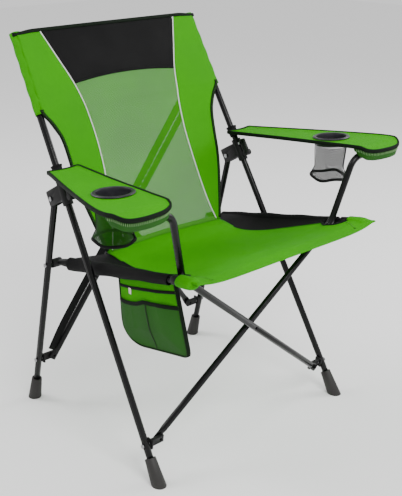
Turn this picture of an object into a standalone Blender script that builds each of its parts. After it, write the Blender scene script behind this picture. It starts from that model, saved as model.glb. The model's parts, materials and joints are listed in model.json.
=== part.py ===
"""Folding camp chair with a high sling back, crossed front and rear tubes, sliding side hubs, fabric
armrests with cup rings and a side pocket. Units are metres, +Z is up, the seat faces -Y, and left is -X.
Every tube, bracket, pin, lever and panel is an object of its own."""

from math import atan2, cos, pi, radians, sin, sqrt, tan

import bmesh
import bpy
from mathutils import Matrix, Vector

# Overall sizes.
POST_TOP = 0.925          # height of the back posts' upper ends
BASE_DEPTH = 0.522        # front foot to rear foot along the floor, and front foot to post top
FRONT_FOOT_Y = -0.260
FOOT_HALF = 0.303         # half the spread of the front feet
TOP_HALF = 0.268          # half the spread of the post tops
REAR_HALF = 0.279         # half the spread of the rear feet
HUB_HEIGHT = 0.597
SEAT_HEIGHT = 0.488       # cross tubes at the seat's front corners
ARM_HEIGHT = 0.648

# Tubes.
TUBE_R = 0.008
TUBE_WALL = 0.0012
FLAT_THICK = 0.006        # a pressed tube end
FLAT_LENGTH = 0.020
CLEAR = 0.0003            # gap between touching parts
RUN = 0.0005              # gap round a pin or a sliding tube

# Hubs on the long tubes.
HUB_R = 0.0122
HUB_LENGTH = 0.058
PIVOT_BACK = 0.045        # rear leg's pin behind the long tube
CLEVIS_HALF = 0.0118
CLEVIS_SLOT = 0.0090
CLEVIS_TOP = 0.021
CLEVIS_LOW = 0.017
PIN_R = 0.003
PIN_HEAD_R = 0.0055
PIN_HEAD = 0.0022

# Crossed tubes.
CROSS_PIVOT_Z = 0.080     # front bracket height
CROSS_INSET = 0.040       # pivot pin to the axis of the tube that carries the bracket
CROSS_LEAN = radians(8.2)
CROSS_OFFSET = 0.0088     # each crossing tube to the plane between them
CORNER_HALF = 0.2490      # bend of the front cross tubes at the seat corners
REAR_PIVOT_Z = 0.120
UPPER_PIVOT_Z = 0.785
UPPER_INSET = 0.020
ARM_POST_TOP_HALF = 0.294
ARM_BAR_HALF = 0.424
ARM_BAR_RISE = 0.010
CORNER_BEND = 0.055
BAR_BEND = 0.034

# Seat rails.
RAIL_JOINT_Z = 0.398      # where a rail meets its rear leg
RAIL_R = 0.008
RAIL_INSET = 0.0295       # rear leg's axis to the rail's at their pin
RAIL_CORNER_HALF = 0.2708
RAIL_TIP = 0.074          # rail beyond the corner
EYE_R = 0.0108            # pivot end of the rail connector
STOP_AHEAD = 0.0155       # stop collar in front of the corner

# Feet.
FOOT_WALL = 0.0045
FOOT_LENGTH = 0.062
FOOT_FLARE = 1.45
SOLE = 0.012

# Fabric, as plain solids.
CLOTH = 0.004
PANEL_GAP = 0.0012
SEAM_TOP_HALF = 0.205     # seams between the green sides and the middle of the back
SEAM_HEAD_HALF = 0.157
SEAM_MID_HALF = 0.137
SEAM_LOW_HALF = 0.166
SEAM_MID_Z = 0.630
HEAD_Z = 0.815            # lower edge of the black head panel
BACK_FREE_Z = 0.765       # below this the back leaves the posts
BACK_FREE_HALVES = (0.262, 0.233, 0.227, 0.208, 0.184)  # half its width from there down to the seat
SEAT_REAR = 0.310         # rear edge of the seat, behind the front feet
SIDE_BEHIND = 0.053       # the black side panels reach this much further along the rails
SEAT_OVER = 0.0102        # side edges beyond the rails' axes
SEAT_FRONT_HALF = 0.290
SEAT_FRONT_OVER = 0.082   # fabric beyond the corner
NOTCH_REAR = 0.030        # cut-out for the arm posts, behind and ahead of them
NOTCH_FRONT = 0.026
NOTCH_HALF = 0.231
SIDE_REAR = 0.084         # width of the black side panels: at the rear, the middle and the front
SIDE_MIDDLE = 0.068
SIDE_FRONT = 0.032
SIDE_TIP = 0.022
SEAT_SAG = 0.010
SIDE_DROP = 0.018         # how far the seat hangs below the rails beside the black panels

# Armrests.
ARM_THICK = 0.010
ARM_REAR = 0.344          # rear and front edges, behind the front feet
ARM_FRONT = -0.040
ARM_RISE = 0.022
ARM_DROP = 0.009          # the armrests' rear edges below their loops
ARM_INNER_REAR = 0.236
ARM_OUTER_REAR = 0.322
ARM_INNER_FRONT = 0.300
ARM_OUTER_FRONT = 0.440
CUP_X = 0.340
CUP_BACK = 0.080          # ring centre behind the front feet
RING_R = 0.0455
RING_BORE = 0.0370
RING_HEIGHT = 0.013
POUCH_DEPTH = 0.086
POUCH_TAPER = 0.78
POUCH_WALL = 0.0022
COLLAR_LENGTH = 0.024
COLLAR_WALL = 0.0032

# Side pocket under the left rail.
POCKET_FRONT = 0.002      # front and rear edges, behind the front feet
POCKET_REAR = 0.184
POCKET_DROP = 0.165
POCKET_THICK = 0.020
POCKET_X = -0.250
POCKET_WALL = 0.003
POCKET_CORNER = 0.045

# Carry strap along the rear cross tube.
STRAP_WIDTH = 0.024
STRAP_THICK = 0.002

SIDES = (("left", -1), ("right", 1))


def clear_scene():
    for thing in list(bpy.data.objects):
        bpy.data.objects.remove(thing)


def make_material(name, colour, rough, metal=0.0):
    material = bpy.data.materials.new(name)
    material.use_nodes = True
    shader = material.node_tree.nodes["Principled BSDF"]
    shader.inputs["Base Color"].default_value = (*colour, 1.0)
    shader.inputs["Roughness"].default_value = rough
    shader.inputs["Metallic"].default_value = metal
    return material


FINISH = {
    "steel": ((0.018, 0.018, 0.019), 0.34, 0.0),
    "plastic": ((0.022, 0.022, 0.023), 0.55, 0.0),
    "rivet": ((0.12, 0.12, 0.125), 0.35, 0.9),
    "rubber": ((0.030, 0.029, 0.028), 0.8, 0.0),
    "green": ((0.082, 0.402, 0.004), 0.75, 0.0),
    "black": ((0.012, 0.012, 0.014), 0.85, 0.0),
    "mesh": ((0.13, 0.40, 0.04), 0.8, 0.0),
    "dark_green": ((0.02, 0.11, 0.008), 0.85, 0.0),
    "grey_mesh": ((0.10, 0.11, 0.10), 0.85, 0.0),
    "web": ((0.010, 0.011, 0.010), 0.9, 0.0),
}


def finish_object(obj, finish):
    obj.data.materials.append(make_material(obj.name, *FINISH[finish]))
    return obj


def object_from(bm, name, finish, smooth=True):
    bmesh.ops.recalc_face_normals(bm, faces=bm.faces)
    mesh = bpy.data.meshes.new(name)
    bm.to_mesh(mesh)
    bm.free()
    obj = bpy.data.objects.new(name, mesh)
    bpy.context.scene.collection.objects.link(obj)
    if smooth:
        mesh.shade_smooth()
        mesh.set_sharp_from_angle(angle=radians(35))
    return finish_object(obj, finish)


def place(obj, origin, axes=None):
    """Moves the object's origin to the point, keeping its shape where it is."""
    turn = axes.to_4x4() if axes else Matrix.Identity(4)
    frame = Matrix.Translation(origin) @ turn
    obj.data.transform(frame.inverted())
    obj.matrix_world = frame
    return obj


def solidify(obj, thickness, offset=-1.0):
    wall = obj.modifiers.new("Wall", "SOLIDIFY")
    wall.thickness = thickness
    wall.offset = offset
    return obj


def cut(obj, *cutters):
    for cutter in cutters:
        cutter.hide_render = True
        cutter.display_type = "WIRE"
        tool = obj.modifiers.new("Cut", "BOOLEAN")
        tool.operation = "DIFFERENCE"
        tool.object = cutter
    return obj


def join(obj, *others):
    """Unions the others into the object; they stay as hidden helpers."""
    for other in others:
        other.hide_render = True
        other.display_type = "WIRE"
        tool = obj.modifiers.new("Join", "BOOLEAN")
        tool.operation = "UNION"
        tool.object = other
    return obj


def rod(name, start, end, radius, finish="steel", sides=16, end_radius=None):
    start = Vector(start)
    end = Vector(end)
    along = end - start
    bm = bmesh.new()
    bmesh.ops.create_cone(
        bm, cap_ends=True, segments=sides, radius1=radius,
        radius2=radius if end_radius is None else end_radius, depth=along.length,
    )
    turn = Vector((0, 0, 1)).rotation_difference(along).to_matrix().to_4x4()
    bmesh.ops.transform(bm, matrix=Matrix.Translation((start + end) / 2) @ turn, verts=bm.verts)
    return object_from(bm, name, finish)


def slab(name, axes, centre, low, high, finish="plastic", bevel=0.0):
    """A box between two corners of the frame whose columns are the three axes, about the centre."""
    bm = bmesh.new()
    bmesh.ops.create_cube(bm, size=1.0)
    low = Vector(low)
    high = Vector(high)
    bmesh.ops.scale(bm, vec=high - low, verts=bm.verts)
    bmesh.ops.translate(bm, vec=(high + low) / 2, verts=bm.verts)
    if bevel:
        bmesh.ops.bevel(
            bm, geom=bm.edges[:], offset=bevel, segments=2, profile=0.5, affect="EDGES", material=-1,
        )
    frame = Matrix.Translation(centre) @ Matrix(axes).transposed().to_4x4()
    bmesh.ops.transform(bm, matrix=frame, verts=bm.verts)
    return object_from(bm, name, finish)


def rounded(points, bends, steps=6):
    """The polyline with an arc of the given radius at each inner corner."""
    points = [Vector(p) for p in points]
    path = [points[0]]
    for before, corner, after, radius in zip(points, points[1:], points[2:], bends):
        back = (before - corner).normalized()
        on = (after - corner).normalized()
        half = back.angle(on) / 2
        reach = radius / tan(half)
        centre = corner + (back + on).normalized() * radius / sin(half)
        start = (corner + back * reach - centre).normalized()
        end = (corner + on * reach - centre).normalized()
        for step in range(steps + 1):
            path.append(centre + start.slerp(end, step / steps) * radius)
    path.append(points[-1])
    return path


def pipe(name, path, radius=TUBE_R, wall=TUBE_WALL, finish="steel"):
    """A round tube along the path, open at both ends."""
    curve = bpy.data.curves.new(name + "_path", "CURVE")
    curve.dimensions = "3D"
    curve.bevel_depth = radius
    curve.bevel_resolution = 4
    spline = curve.splines.new("POLY")
    spline.points.add(len(path) - 1)
    for point, place_at in zip(spline.points, path):
        point.co = (*place_at, 1.0)
    guide = bpy.data.objects.new(name + "_guide", curve)
    bpy.context.scene.collection.objects.link(guide)
    bpy.context.view_layer.update()
    mesh = bpy.data.meshes.new_from_object(guide.evaluated_get(bpy.context.evaluated_depsgraph_get()))
    bpy.data.objects.remove(guide)
    mesh.name = name
    obj = bpy.data.objects.new(name, mesh)
    bpy.context.scene.collection.objects.link(obj)
    mesh.materials.clear()
    mesh.shade_smooth()
    mesh.set_sharp_from_angle(angle=radians(35))
    finish_object(obj, finish)
    return solidify(obj, wall)


def press_flat(obj, end, along, normal, thickness=FLAT_THICK, length=FLAT_LENGTH):
    """Presses the tube flat near an end: thin along the normal, wider across it."""
    across = along.cross(normal).normalized()
    taper = length * 0.7
    bm = bmesh.new()
    bm.from_mesh(obj.data)
    for vert in bm.verts:
        offset = vert.co - end
        reach = offset.dot(along)
        if reach > length + taper:
            continue
        share = min(1.0, max(0.0, (length + taper - reach) / taper))
        thin = 1 + share * (thickness / (2 * TUBE_R) - 1)
        wide = 1 + share * 0.30
        vert.co = end + along * reach + normal * offset.dot(normal) * thin + across * offset.dot(across) * wide
    bm.to_mesh(obj.data)
    bm.free()


# Side geometry. Points are given for the right side; side is -1 or 1.

def at_side(side, x, y, z):
    return Vector((side * x, y, z))


def long_axis(side, height):
    """A point on the long tube's axis, which is front leg and back post in one."""
    share = height / POST_TOP
    return at_side(
        side, FOOT_HALF + (TOP_HALF - FOOT_HALF) * share, FRONT_FOOT_Y + BASE_DEPTH * share, height,
    )


def long_along(side):
    return (long_axis(side, POST_TOP) - long_axis(side, 0)).normalized()


def hub_axes(side):
    """Across the chair, forward from the tube, and up along the tube."""
    up = long_along(side)
    forward = up.cross(Vector((1, 0, 0))).normalized()
    if forward.y > 0:
        forward = -forward
    across = forward.cross(up).normalized()
    return across, forward, up


def leg_pivot(side):
    _, forward, _ = hub_axes(side)
    return long_axis(side, HUB_HEIGHT) - forward * PIVOT_BACK


def rear_foot(side):
    return at_side(side, REAR_HALF, FRONT_FOOT_Y + BASE_DEPTH, 0)


def rear_axis(side, height):
    top = leg_pivot(side)
    foot = rear_foot(side)
    return foot + (top - foot) * (height / top.z)


def rear_along(side):
    return (leg_pivot(side) - rear_foot(side)).normalized()


def front_pivot(side):
    """Pivot of the cross tube on the front bracket, in the plane between the crossing tubes."""
    leg = long_axis(side, CROSS_PIVOT_Z)
    return leg - Vector((side * CROSS_INSET, 0, 0))


def plane_up(lean):
    return Vector((0, -sin(lean), cos(lean)))


def plane_out(lean):
    """Normal of a crossing plane, pointing to the front."""
    return Vector((0, -cos(lean), -sin(lean)))


def rear_pivot(side):
    leg = rear_axis(side, REAR_PIVOT_Z)
    return leg - Vector((side * CROSS_INSET, 0, 0))


def upper_pivot(side):
    post = long_axis(side, UPPER_PIVOT_Z)
    return post - Vector((side * UPPER_INSET, 0, 0)) + Vector((0, 0.016, -0.004))


def rear_lean():
    low = rear_pivot(1)
    high = upper_pivot(1)
    return atan2(low.y - high.y, high.z - low.z)


def in_front_plane(x, rise):
    """A point of the front crossing plane: across, and up the plane from the bracket pivots."""
    start = front_pivot(1)
    return Vector((x, start.y, start.z)) + plane_up(CROSS_LEAN) * rise


def front_rise(height):
    return (height - CROSS_PIVOT_Z) / cos(CROSS_LEAN)


def corner_point(side):
    return in_front_plane(side * CORNER_HALF, front_rise(SEAT_HEIGHT))


def cross_centre():
    """Where the front tubes cross, on the line from a bracket to the opposite corner."""
    low = front_pivot(-1)
    high = corner_point(1)
    share = -low.x / (high.x - low.x)
    return low + (high - low) * share


def rail_start(side):
    joint = rear_axis(side, RAIL_JOINT_Z)
    return joint - Vector((side * RAIL_INSET, 0, 0))


def rail_corner(side):
    return in_front_plane(side * RAIL_CORNER_HALF, front_rise(SEAT_HEIGHT))


def rail_along(side):
    return (rail_corner(side) - rail_start(side)).normalized()


def collar_point(side):
    """Where an armrest turns: its rear edge, in front of its post."""
    _, _, y, z = arm_edge(0)
    return Vector((long_axis(side, ARM_HEIGHT).x, y, z))


def arm_post_top(side):
    return in_front_plane(side * ARM_POST_TOP_HALF, front_rise(ARM_HEIGHT - 0.006))


def lever_pin(side):
    _, forward, up = hub_axes(side)
    return long_axis(side, HUB_HEIGHT) + forward * (HUB_R + 0.0045) + up * 0.014


# Frame.

def make_long_tube(name, side):
    low = long_axis(side, SOLE + 0.006)
    high = long_axis(side, POST_TOP)
    tube = pipe("front_leg_" + name, [low, high])
    place(tube, low)
    holes = [bolt_hole("leg", name, long_axis(side, CROSS_PIVOT_Z))]
    holes.append(bolt_hole("post", name, long_axis(side, UPPER_PIVOT_Z)))
    return cut(tube, *holes)


def bolt_hole(label, name, centre, radius=PIN_R + RUN):
    reach = Vector((0.03, 0, 0))
    return rod(f"{label}_hole_{name}", centre - reach, centre + reach, radius, "steel", 12)


def make_rear_leg(name, side):
    low = rear_axis(side, SOLE + 0.006)
    pivot = leg_pivot(side)
    high = pivot + rear_along(side) * 0.0075
    tube = pipe("rear_leg_" + name, [low, high])
    place(tube, pivot)
    cutters = [bolt_hole("hub_pin", name, pivot)]
    cutters.append(bolt_hole("rail_pin", name, rear_axis(side, RAIL_JOINT_Z)))
    cutters.append(bolt_hole("rear_bolt", name, rear_axis(side, REAR_PIVOT_Z)))
    return cut(tube, *cutters)


def make_foot(name, end, side, axis_at, along):
    """A moulded boot over the tube's end, with a flat sole on the floor."""
    floor_point = axis_at(side, 0)
    top = floor_point + along * FOOT_LENGTH
    inner = TUBE_R + CLEAR
    outer = inner + FOOT_WALL
    boot = rod(f"{end}_foot_{name}", floor_point - along * 0.03, top, outer * FOOT_FLARE, "rubber", 20, outer)
    place(boot, floor_point)
    bore_end = axis_at(side, SOLE + 0.0035)
    hollow = rod(f"{end}_foot_bore_{name}", bore_end, top + along * 0.02, inner, "rubber", 20)
    floor = slab(
        f"{end}_floor_{name}",
        ((1, 0, 0), (0, 1, 0), (0, 0, 1)),
        floor_point,
        (-0.1, -0.1, -0.1),
        (0.1, 0.1, 0),
    )
    return cut(boot, hollow, floor)


def make_cap(name, side):
    top = long_axis(side, POST_TOP)
    up = long_along(side)
    bm = bmesh.new()
    bmesh.ops.create_uvsphere(bm, u_segments=16, v_segments=6, radius=TUBE_R + 0.0012)
    bmesh.ops.bisect_plane(bm, geom=bm.verts[:] + bm.edges[:] + bm.faces[:], plane_co=(0, 0, 0),
                           plane_no=(0, 0, 1), clear_inner=True)
    rim = [edge for edge in bm.edges if edge.is_boundary]
    bmesh.ops.holes_fill(bm, edges=rim, sides=0)
    bmesh.ops.scale(bm, vec=(1, 1, 0.6), verts=bm.verts)
    turn = Vector((0, 0, 1)).rotation_difference(up).to_matrix().to_4x4()
    bmesh.ops.transform(bm, matrix=Matrix.Translation(top + up * CLEAR) @ turn, verts=bm.verts)
    cap = object_from(bm, "post_cap_" + name, "plastic")
    return place(cap, top)


def make_hub(name, side):
    """A sleeve that slides on the long tube, with a clevis behind it and a lug for the lever in front."""
    axes = hub_axes(side)
    across, forward, up = axes
    centre = long_axis(side, HUB_HEIGHT)
    hub = rod("hub_" + name, centre - up * HUB_LENGTH / 2, centre + up * HUB_LENGTH / 2, HUB_R, "plastic", 20)
    back = PIVOT_BACK + 0.014
    block = slab(
        "hub_clevis_" + name, axes, centre, (-CLEVIS_HALF, -back, -CLEVIS_LOW),
        (CLEVIS_HALF, 0, CLEVIS_TOP), bevel=0.003,
    )
    lug = slab(
        "hub_lug_" + name, axes, centre, (-0.0035, 0, -0.004), (0.0035, HUB_R + 0.0095, 0.019), bevel=0.0012,
    )
    slot = slab(
        "hub_slot_" + name, axes, centre, (-CLEVIS_SLOT, -back - 0.01, -0.03),
        (CLEVIS_SLOT, -HUB_R - 0.0045, CLEVIS_TOP - 0.006),
    )
    bore = rod(
        "hub_bore_" + name, centre - up * HUB_LENGTH, centre + up * HUB_LENGTH, TUBE_R + RUN, "plastic", 20,
    )
    pin = leg_pivot(side)
    hole = rod("hub_hole_" + name, pin - across * 0.03, pin + across * 0.03, PIN_R + RUN, "plastic", 12)
    lever = lever_pin(side)
    eye = rod("lug_hole_" + name, lever - across * 0.02, lever + across * 0.02, 0.002 + RUN, "plastic", 12)
    join(hub, block, lug)
    cut(hub, slot, bore, hole, eye)
    return place(hub, centre)


def make_pin(name, centre, direction, half, finish="rivet", radius=PIN_R, head=PIN_HEAD_R):
    """A riveted pin with a head at each end; half is from the middle to the inside of a head."""
    bm = bmesh.new()
    steps = [(0.0, -half - PIN_HEAD), (head, -half - PIN_HEAD), (head, -half), (radius, -half), (radius, half),
             (head, half), (head, half + PIN_HEAD), (0.0, half + PIN_HEAD)]
    verts = [bm.verts.new((x, 0, z)) for x, z in steps]
    edges = [bm.edges.new(pair) for pair in zip(verts, verts[1:])]
    bmesh.ops.spin(
        bm, geom=verts + edges, cent=(0, 0, 0), axis=(0, 0, 1), angle=2 * pi, steps=14, use_merge=True,
    )
    bmesh.ops.remove_doubles(bm, verts=bm.verts, dist=0.00001)
    turn = Vector((0, 0, 1)).rotation_difference(Vector(direction)).to_matrix().to_4x4()
    bmesh.ops.transform(bm, matrix=Matrix.Translation(centre) @ turn, verts=bm.verts)
    return place(object_from(bm, name, finish), centre)


def make_lever(name, side):
    """A thumb lever astride the hub's lug, with a round lower lobe."""
    axes = hub_axes(side)
    across, forward, up = axes
    pin = lever_pin(side)
    lever = slab(
        "lock_lever_" + name, axes, pin, (-0.0085, -0.0010, -0.031), (0.0085, 0.0095, 0.009), bevel=0.0035,
    )
    lobe_at = pin - up * 0.029 + forward * 0.0050
    lobe_reach = across * 0.0085
    lobe = rod("lever_lobe_" + name, lobe_at - lobe_reach, lobe_at + lobe_reach, 0.0080, "plastic", 16)
    slot = slab("lever_slot_" + name, axes, pin, (-0.0042, -0.02, -0.022), (0.0042, 0.0062, 0.02))
    sleeve = rod(
        "lever_relief_" + name,
        long_axis(side, HUB_HEIGHT) - up * 0.05,
        long_axis(side, HUB_HEIGHT) + up * 0.05,
        HUB_R + 0.0012, "plastic", 20,
    )
    eye = rod("lever_hole_" + name, pin - across * 0.02, pin + across * 0.02, 0.002 + RUN, "plastic", 12)
    join(lever, lobe)
    cut(lever, slot, sleeve, eye)
    return place(lever, pin)


def make_bracket(name, pivot, side, lean, carrier, finish="plastic"):
    """A flange against the carrying tube and an ear in the crossing plane, for the cross tube's pin."""
    up = plane_up(lean)
    out = plane_out(lean)
    inward = Vector((-side, 0, 0))
    gap = (carrier - pivot).dot(-inward) - TUBE_R - 0.0012
    axes = (inward, out, up)
    ear = slab(name, axes, pivot, (-gap, -0.0042, -0.0095), (0.0095, 0.0042, 0.0095), finish, 0.0016)
    flange = slab(name + "_flange", axes, pivot, (-gap, -0.0100, -0.0115), (-gap + 0.0050, 0.0100, 0.0115),
                  finish, 0.0014)
    hole = rod(name + "_hole", pivot - out * 0.03, pivot + out * 0.03, PIN_R + RUN, finish, 12)
    bolt = rod(name + "_bolt_hole", carrier, pivot + inward * 0.002, PIN_R + RUN, finish, 12)
    nut = slab(name + "_nut_room", axes, pivot, (-gap + 0.0050, -0.0062, -0.0062),
               (-gap + 0.0085, 0.0062, 0.0062), finish)
    join(ear, flange)
    cut(ear, hole, bolt, nut)
    return place(ear, pivot)


def make_bolt(name, carrier, pivot, side):
    """The bolt through the carrying tube and the bracket's flange, with its nut behind the flange."""
    inward = Vector((-side, 0, 0))
    gap = (carrier - pivot).dot(-inward)
    outer = carrier - inward * (TUBE_R + 0.0008)
    inner = pivot - inward * (gap - TUBE_R - 0.0012 - 0.0056)
    middle = (outer + inner) / 2
    half = (outer - inner).length / 2
    return make_pin(name, middle, inward, half, head=0.0052)


def cross_end(pivot, toward, offset, normal):
    """Where the pressed end of a cross tube starts, a little past its pin."""
    return pivot + normal * offset - toward * 0.010


def make_front_cross(name, side, front):
    """The tube from the opposite bracket through the middle to this side's corner, arm post and bar."""
    out = plane_out(CROSS_LEAN)
    offset = CROSS_OFFSET if front else -CROSS_OFFSET
    low = front_pivot(-side)
    corner = corner_point(side)
    toward = (corner - low).normalized()
    start = cross_end(low, toward, offset, out)
    bend = corner + out * offset
    post = arm_post_top(side) + out * offset
    bar = in_front_plane(side * ARM_BAR_HALF, front_rise(ARM_HEIGHT - 0.006 + ARM_BAR_RISE)) + out * offset
    path = rounded([start, bend, post, bar], (CORNER_BEND, BAR_BEND))
    near = [start + toward * step for step in (0.010, 0.020, 0.027, 0.034)]
    tube = pipe("front_cross_" + name, path[:1] + near + path[1:])
    press_flat(tube, start, toward, out)
    pin_hole = rod("cross_hole_" + name, low - out * 0.04, low + out * 0.04, PIN_R + RUN, "steel", 12)
    centre = cross_centre()
    rivet_hole = rod("rivet_hole_" + name, centre - out * 0.04, centre + out * 0.04, PIN_R + RUN, "steel", 12)
    cut(tube, pin_hole, rivet_hole)
    return place(tube, low)


def make_rear_cross(name, side, front):
    """The straight tube from the opposite rear bracket to this side's back post."""
    lean = rear_lean()
    out = plane_out(lean)
    offset = CROSS_OFFSET if front else -CROSS_OFFSET
    low = rear_pivot(-side)
    high = upper_pivot(side)
    toward = (high - low).normalized()
    start = cross_end(low, toward, offset, out)
    end = high + toward * 0.010 + out * offset
    near = [start + toward * step for step in (0.010, 0.020, 0.027, 0.034)]
    far = [end - toward * step for step in (0.034, 0.027, 0.020, 0.010)]
    tube = pipe("rear_cross_" + name, [start, *near, *far, end])
    press_flat(tube, start, toward, out)
    press_flat(tube, end, -toward, out)
    pin_hole = rod("rear_cross_hole_" + name, low - out * 0.04, low + out * 0.04, PIN_R + RUN, "steel", 12)
    cut(tube, pin_hole)
    return place(tube, low)


def make_rail(name, side):
    start = rail_start(side)
    along = rail_along(side)
    tip = rail_corner(side) + along * RAIL_TIP
    tube = pipe("seat_rail_" + name, [start + along * 0.030, tip], RAIL_R)
    return place(tube, start)


def make_connector(name, side):
    """The tapered moulding between a rear leg and its seat rail."""
    start = rail_start(side)
    along = rail_along(side)
    joint = rear_axis(side, RAIL_JOINT_Z)
    body_ends = (start + along * 0.006, start + along * 0.054)
    body = rod("rail_connector_" + name, *body_ends, 0.0076, "plastic", 16, 0.0112)
    inward = Vector((-side, 0, 0))
    eye = rod("connector_eye_" + name, joint + inward * (TUBE_R + 0.0010), start + inward * 0.006, EYE_R,
              "plastic", 16)
    socket = rod("connector_socket_" + name, start + along * (0.030 - CLEAR), start + along * 0.08,
                 RAIL_R + CLEAR, "plastic", 16)
    hole = rod("connector_hole_" + name, joint, start + inward * 0.02, PIN_R + RUN, "plastic", 12)
    join(body, eye)
    cut(body, socket, hole)
    return place(body, joint)


def make_rail_pin(name, side):
    joint = rear_axis(side, RAIL_JOINT_Z)
    inward = Vector((-side, 0, 0))
    outer = joint - inward * (TUBE_R + 0.0008)
    inner = rail_start(side) + inward * (0.006 + 0.0006)
    return make_pin("rail_pin_" + name, (outer + inner) / 2, inward, (outer - inner).length / 2, head=0.0052)


def make_stop(name, side):
    """The moulded collar on a seat rail that the front cross tube rests against when the seat is open."""
    along = rail_along(side)
    centre = rail_corner(side) + along * STOP_AHEAD
    reach = along * 0.008
    collar = rod("rail_stop_" + name, centre - reach, centre + reach, RAIL_R + 0.0026, "plastic", 18)
    bore = rod("stop_bore_" + name, centre - along * 0.05, centre + along * 0.05, RAIL_R + CLEAR, "plastic", 18)
    cut(collar, bore)
    return place(collar, centre)


# Fabric solids.

def seat_point(y, lift=RAIL_R + 0.0012 + CLOTH / 2):
    """Height of the seat's middle layer over the rails, at a distance from front to rear."""
    along = rail_along(1)
    corner = rail_corner(1)
    normal = Vector((0, along.z, -along.y)).normalized()
    point = corner + along * ((y - corner.y) / along.y)
    return point + normal * lift


def seat_rear_y():
    return FRONT_FOOT_Y + SEAT_REAR


def seat_edge(y):
    """Half the seat's width over the rails."""
    start = rail_start(1)
    along = rail_along(1)
    return start.x + along.x * (y - start.y) / along.y + SEAT_OVER


def back_profile():
    """Side view of the back from the top down: pairs of y and z. The first four are on the posts."""
    forward = hub_axes(1)[1]
    lift = TUBE_R + 0.0016 + CLOTH / 2
    on_post = [long_axis(1, z) + forward * lift for z in (POST_TOP - 0.010, 0.87, HEAD_Z, BACK_FREE_Z)]
    free_top = on_post[-1]
    low = seat_point(seat_rear_y())
    low_y = low.y + 0.004
    low_z = low.z + CLOTH + 0.004
    free = []
    for share in (0.04, 0.25, 0.5, 0.75, 1.0):
        y = free_top.y + (low_y - free_top.y) * share + 0.006 * sin(pi * share)
        free.append((y, free_top.z + (low_z - free_top.z) * share))
    return [(p.y, p.z) for p in on_post] + free


def half_width(index):
    """Half the back's width at a row of its profile: the posts above, the free edge below."""
    if index < 4:
        return long_axis(1, BACK_FREE_Z).x + 0.006
    return BACK_FREE_HALVES[index - 4]


def seam_half(z):
    """Half the distance between the two seams of the back at a height."""
    if z >= HEAD_Z:
        share = (POST_TOP - z) / (POST_TOP - HEAD_Z)
        return SEAM_TOP_HALF + (SEAM_HEAD_HALF - SEAM_TOP_HALF) * share
    if z >= SEAM_MID_Z:
        share = (HEAD_Z - z) / (HEAD_Z - SEAM_MID_Z)
        return SEAM_HEAD_HALF + (SEAM_MID_HALF - SEAM_HEAD_HALF) * share
    share = (SEAM_MID_Z - z) / (SEAM_MID_Z - RAIL_JOINT_Z)
    return SEAM_MID_HALF + (SEAM_LOW_HALF - SEAM_MID_HALF) * share


def strip(name, rows, finish, thickness=CLOTH):
    """A sheet through rows of points, each row from one edge to the other, given a thickness."""
    bm = bmesh.new()
    made = [[bm.verts.new(point) for point in row] for row in rows]
    for upper, lower in zip(made, made[1:]):
        for a, b, c, d in zip(upper, upper[1:], lower[1:], lower):
            bm.faces.new((a, b, c, d))
    return solidify(object_from(bm, name, finish), thickness, 0.0)


def make_back():
    profile = back_profile()
    for name, side in SIDES:
        rows = []
        for index, (y, z) in enumerate(profile):
            inner = side * (seam_half(z) + PANEL_GAP)
            outer = side * half_width(index)
            rows.append([Vector((inner, y, z)), Vector(((inner + outer) / 2, y, z)), Vector((outer, y, z))])
        strip("back_side_" + name, rows, "green")
    rows = []
    for y, z in profile:
        half = seam_half(z) - PANEL_GAP
        rows.append([Vector((half * share, y, z)) for share in (-1, -0.5, 0, 0.5, 1)])
    strip("back_head", rows[:3], "black")
    down = (rows[3][0] - rows[2][0]).normalized()
    start = [Vector((point.x, point.y, point.z)) + down * (CLOTH / 2 + PANEL_GAP) for point in rows[2]]
    strip("back_mesh", [start] + rows[3:], "mesh")


def side_width(share):
    """Width of a black side panel; share runs from its rear end, 0, to the cut-out, 1."""
    if share < 0.5:
        return SIDE_REAR + (SIDE_MIDDLE - SIDE_REAR) * sin(pi * share)
    return SIDE_FRONT + (SIDE_MIDDLE - SIDE_FRONT) * sin(pi * share)


def seat_drop(y, rear, front):
    """How far the seat hangs below the rails: nothing at its two ends."""
    share = (y - rear) / (front - rear)
    return SIDE_DROP * sin(pi * min(1.0, max(0.0, share)) ** 0.8)


def make_seat():
    rear = seat_rear_y()
    corner = rail_corner(1)
    front = corner.y - SEAT_FRONT_OVER
    notch_rear = corner.y + NOTCH_REAR
    notch_front = corner.y - NOTCH_FRONT
    shares = [index / 7 for index in range(8)]
    body = [rear + (notch_rear - rear) * share for share in shares]
    outline = [(y, seat_edge(y) - side_width(share) - PANEL_GAP) for y, share in zip(body, shares)]
    outline += [(notch_rear - 0.003, NOTCH_HALF), (notch_front + 0.008, NOTCH_HALF)]
    outline += [(notch_front, SEAT_FRONT_HALF - 0.012), (front, SEAT_FRONT_HALF)]
    rows = []
    for y, half in outline:
        point = seat_point(y)
        edge_z = point.z - seat_drop(y, rear, notch_rear)
        dip = SEAT_SAG * sin(pi * (y - rear) / (front - rear))
        across = (-1, -0.5, 0, 0.5, 1)
        rows.append([Vector((half * share, y, edge_z - dip * (1 - share * share))) for share in across])
    strip("seat_panel", rows, "green")
    for name, side in SIDES:
        behind = rear + SIDE_BEHIND
        rows = [[(behind, seat_edge(behind) - SIDE_TIP, 0.0), (behind, seat_edge(behind) - SIDE_TIP / 2, 0.0),
                 (behind, seat_edge(behind), 0.0)]]
        for y, share in zip(body, shares):
            inner = seat_edge(y) - side_width(share) + PANEL_GAP
            beside = seat_edge(y) - SEAT_OVER - RAIL_R - 0.0005
            rows.append([(y, inner, seat_drop(y, rear, notch_rear)), (y, beside, 0.0), (y, seat_edge(y), 0.0)])
        points = [[Vector((side * x, y, seat_point(y).z - drop)) for y, x, drop in row] for row in rows]
        strip("seat_side_" + name, points, "black")


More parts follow.
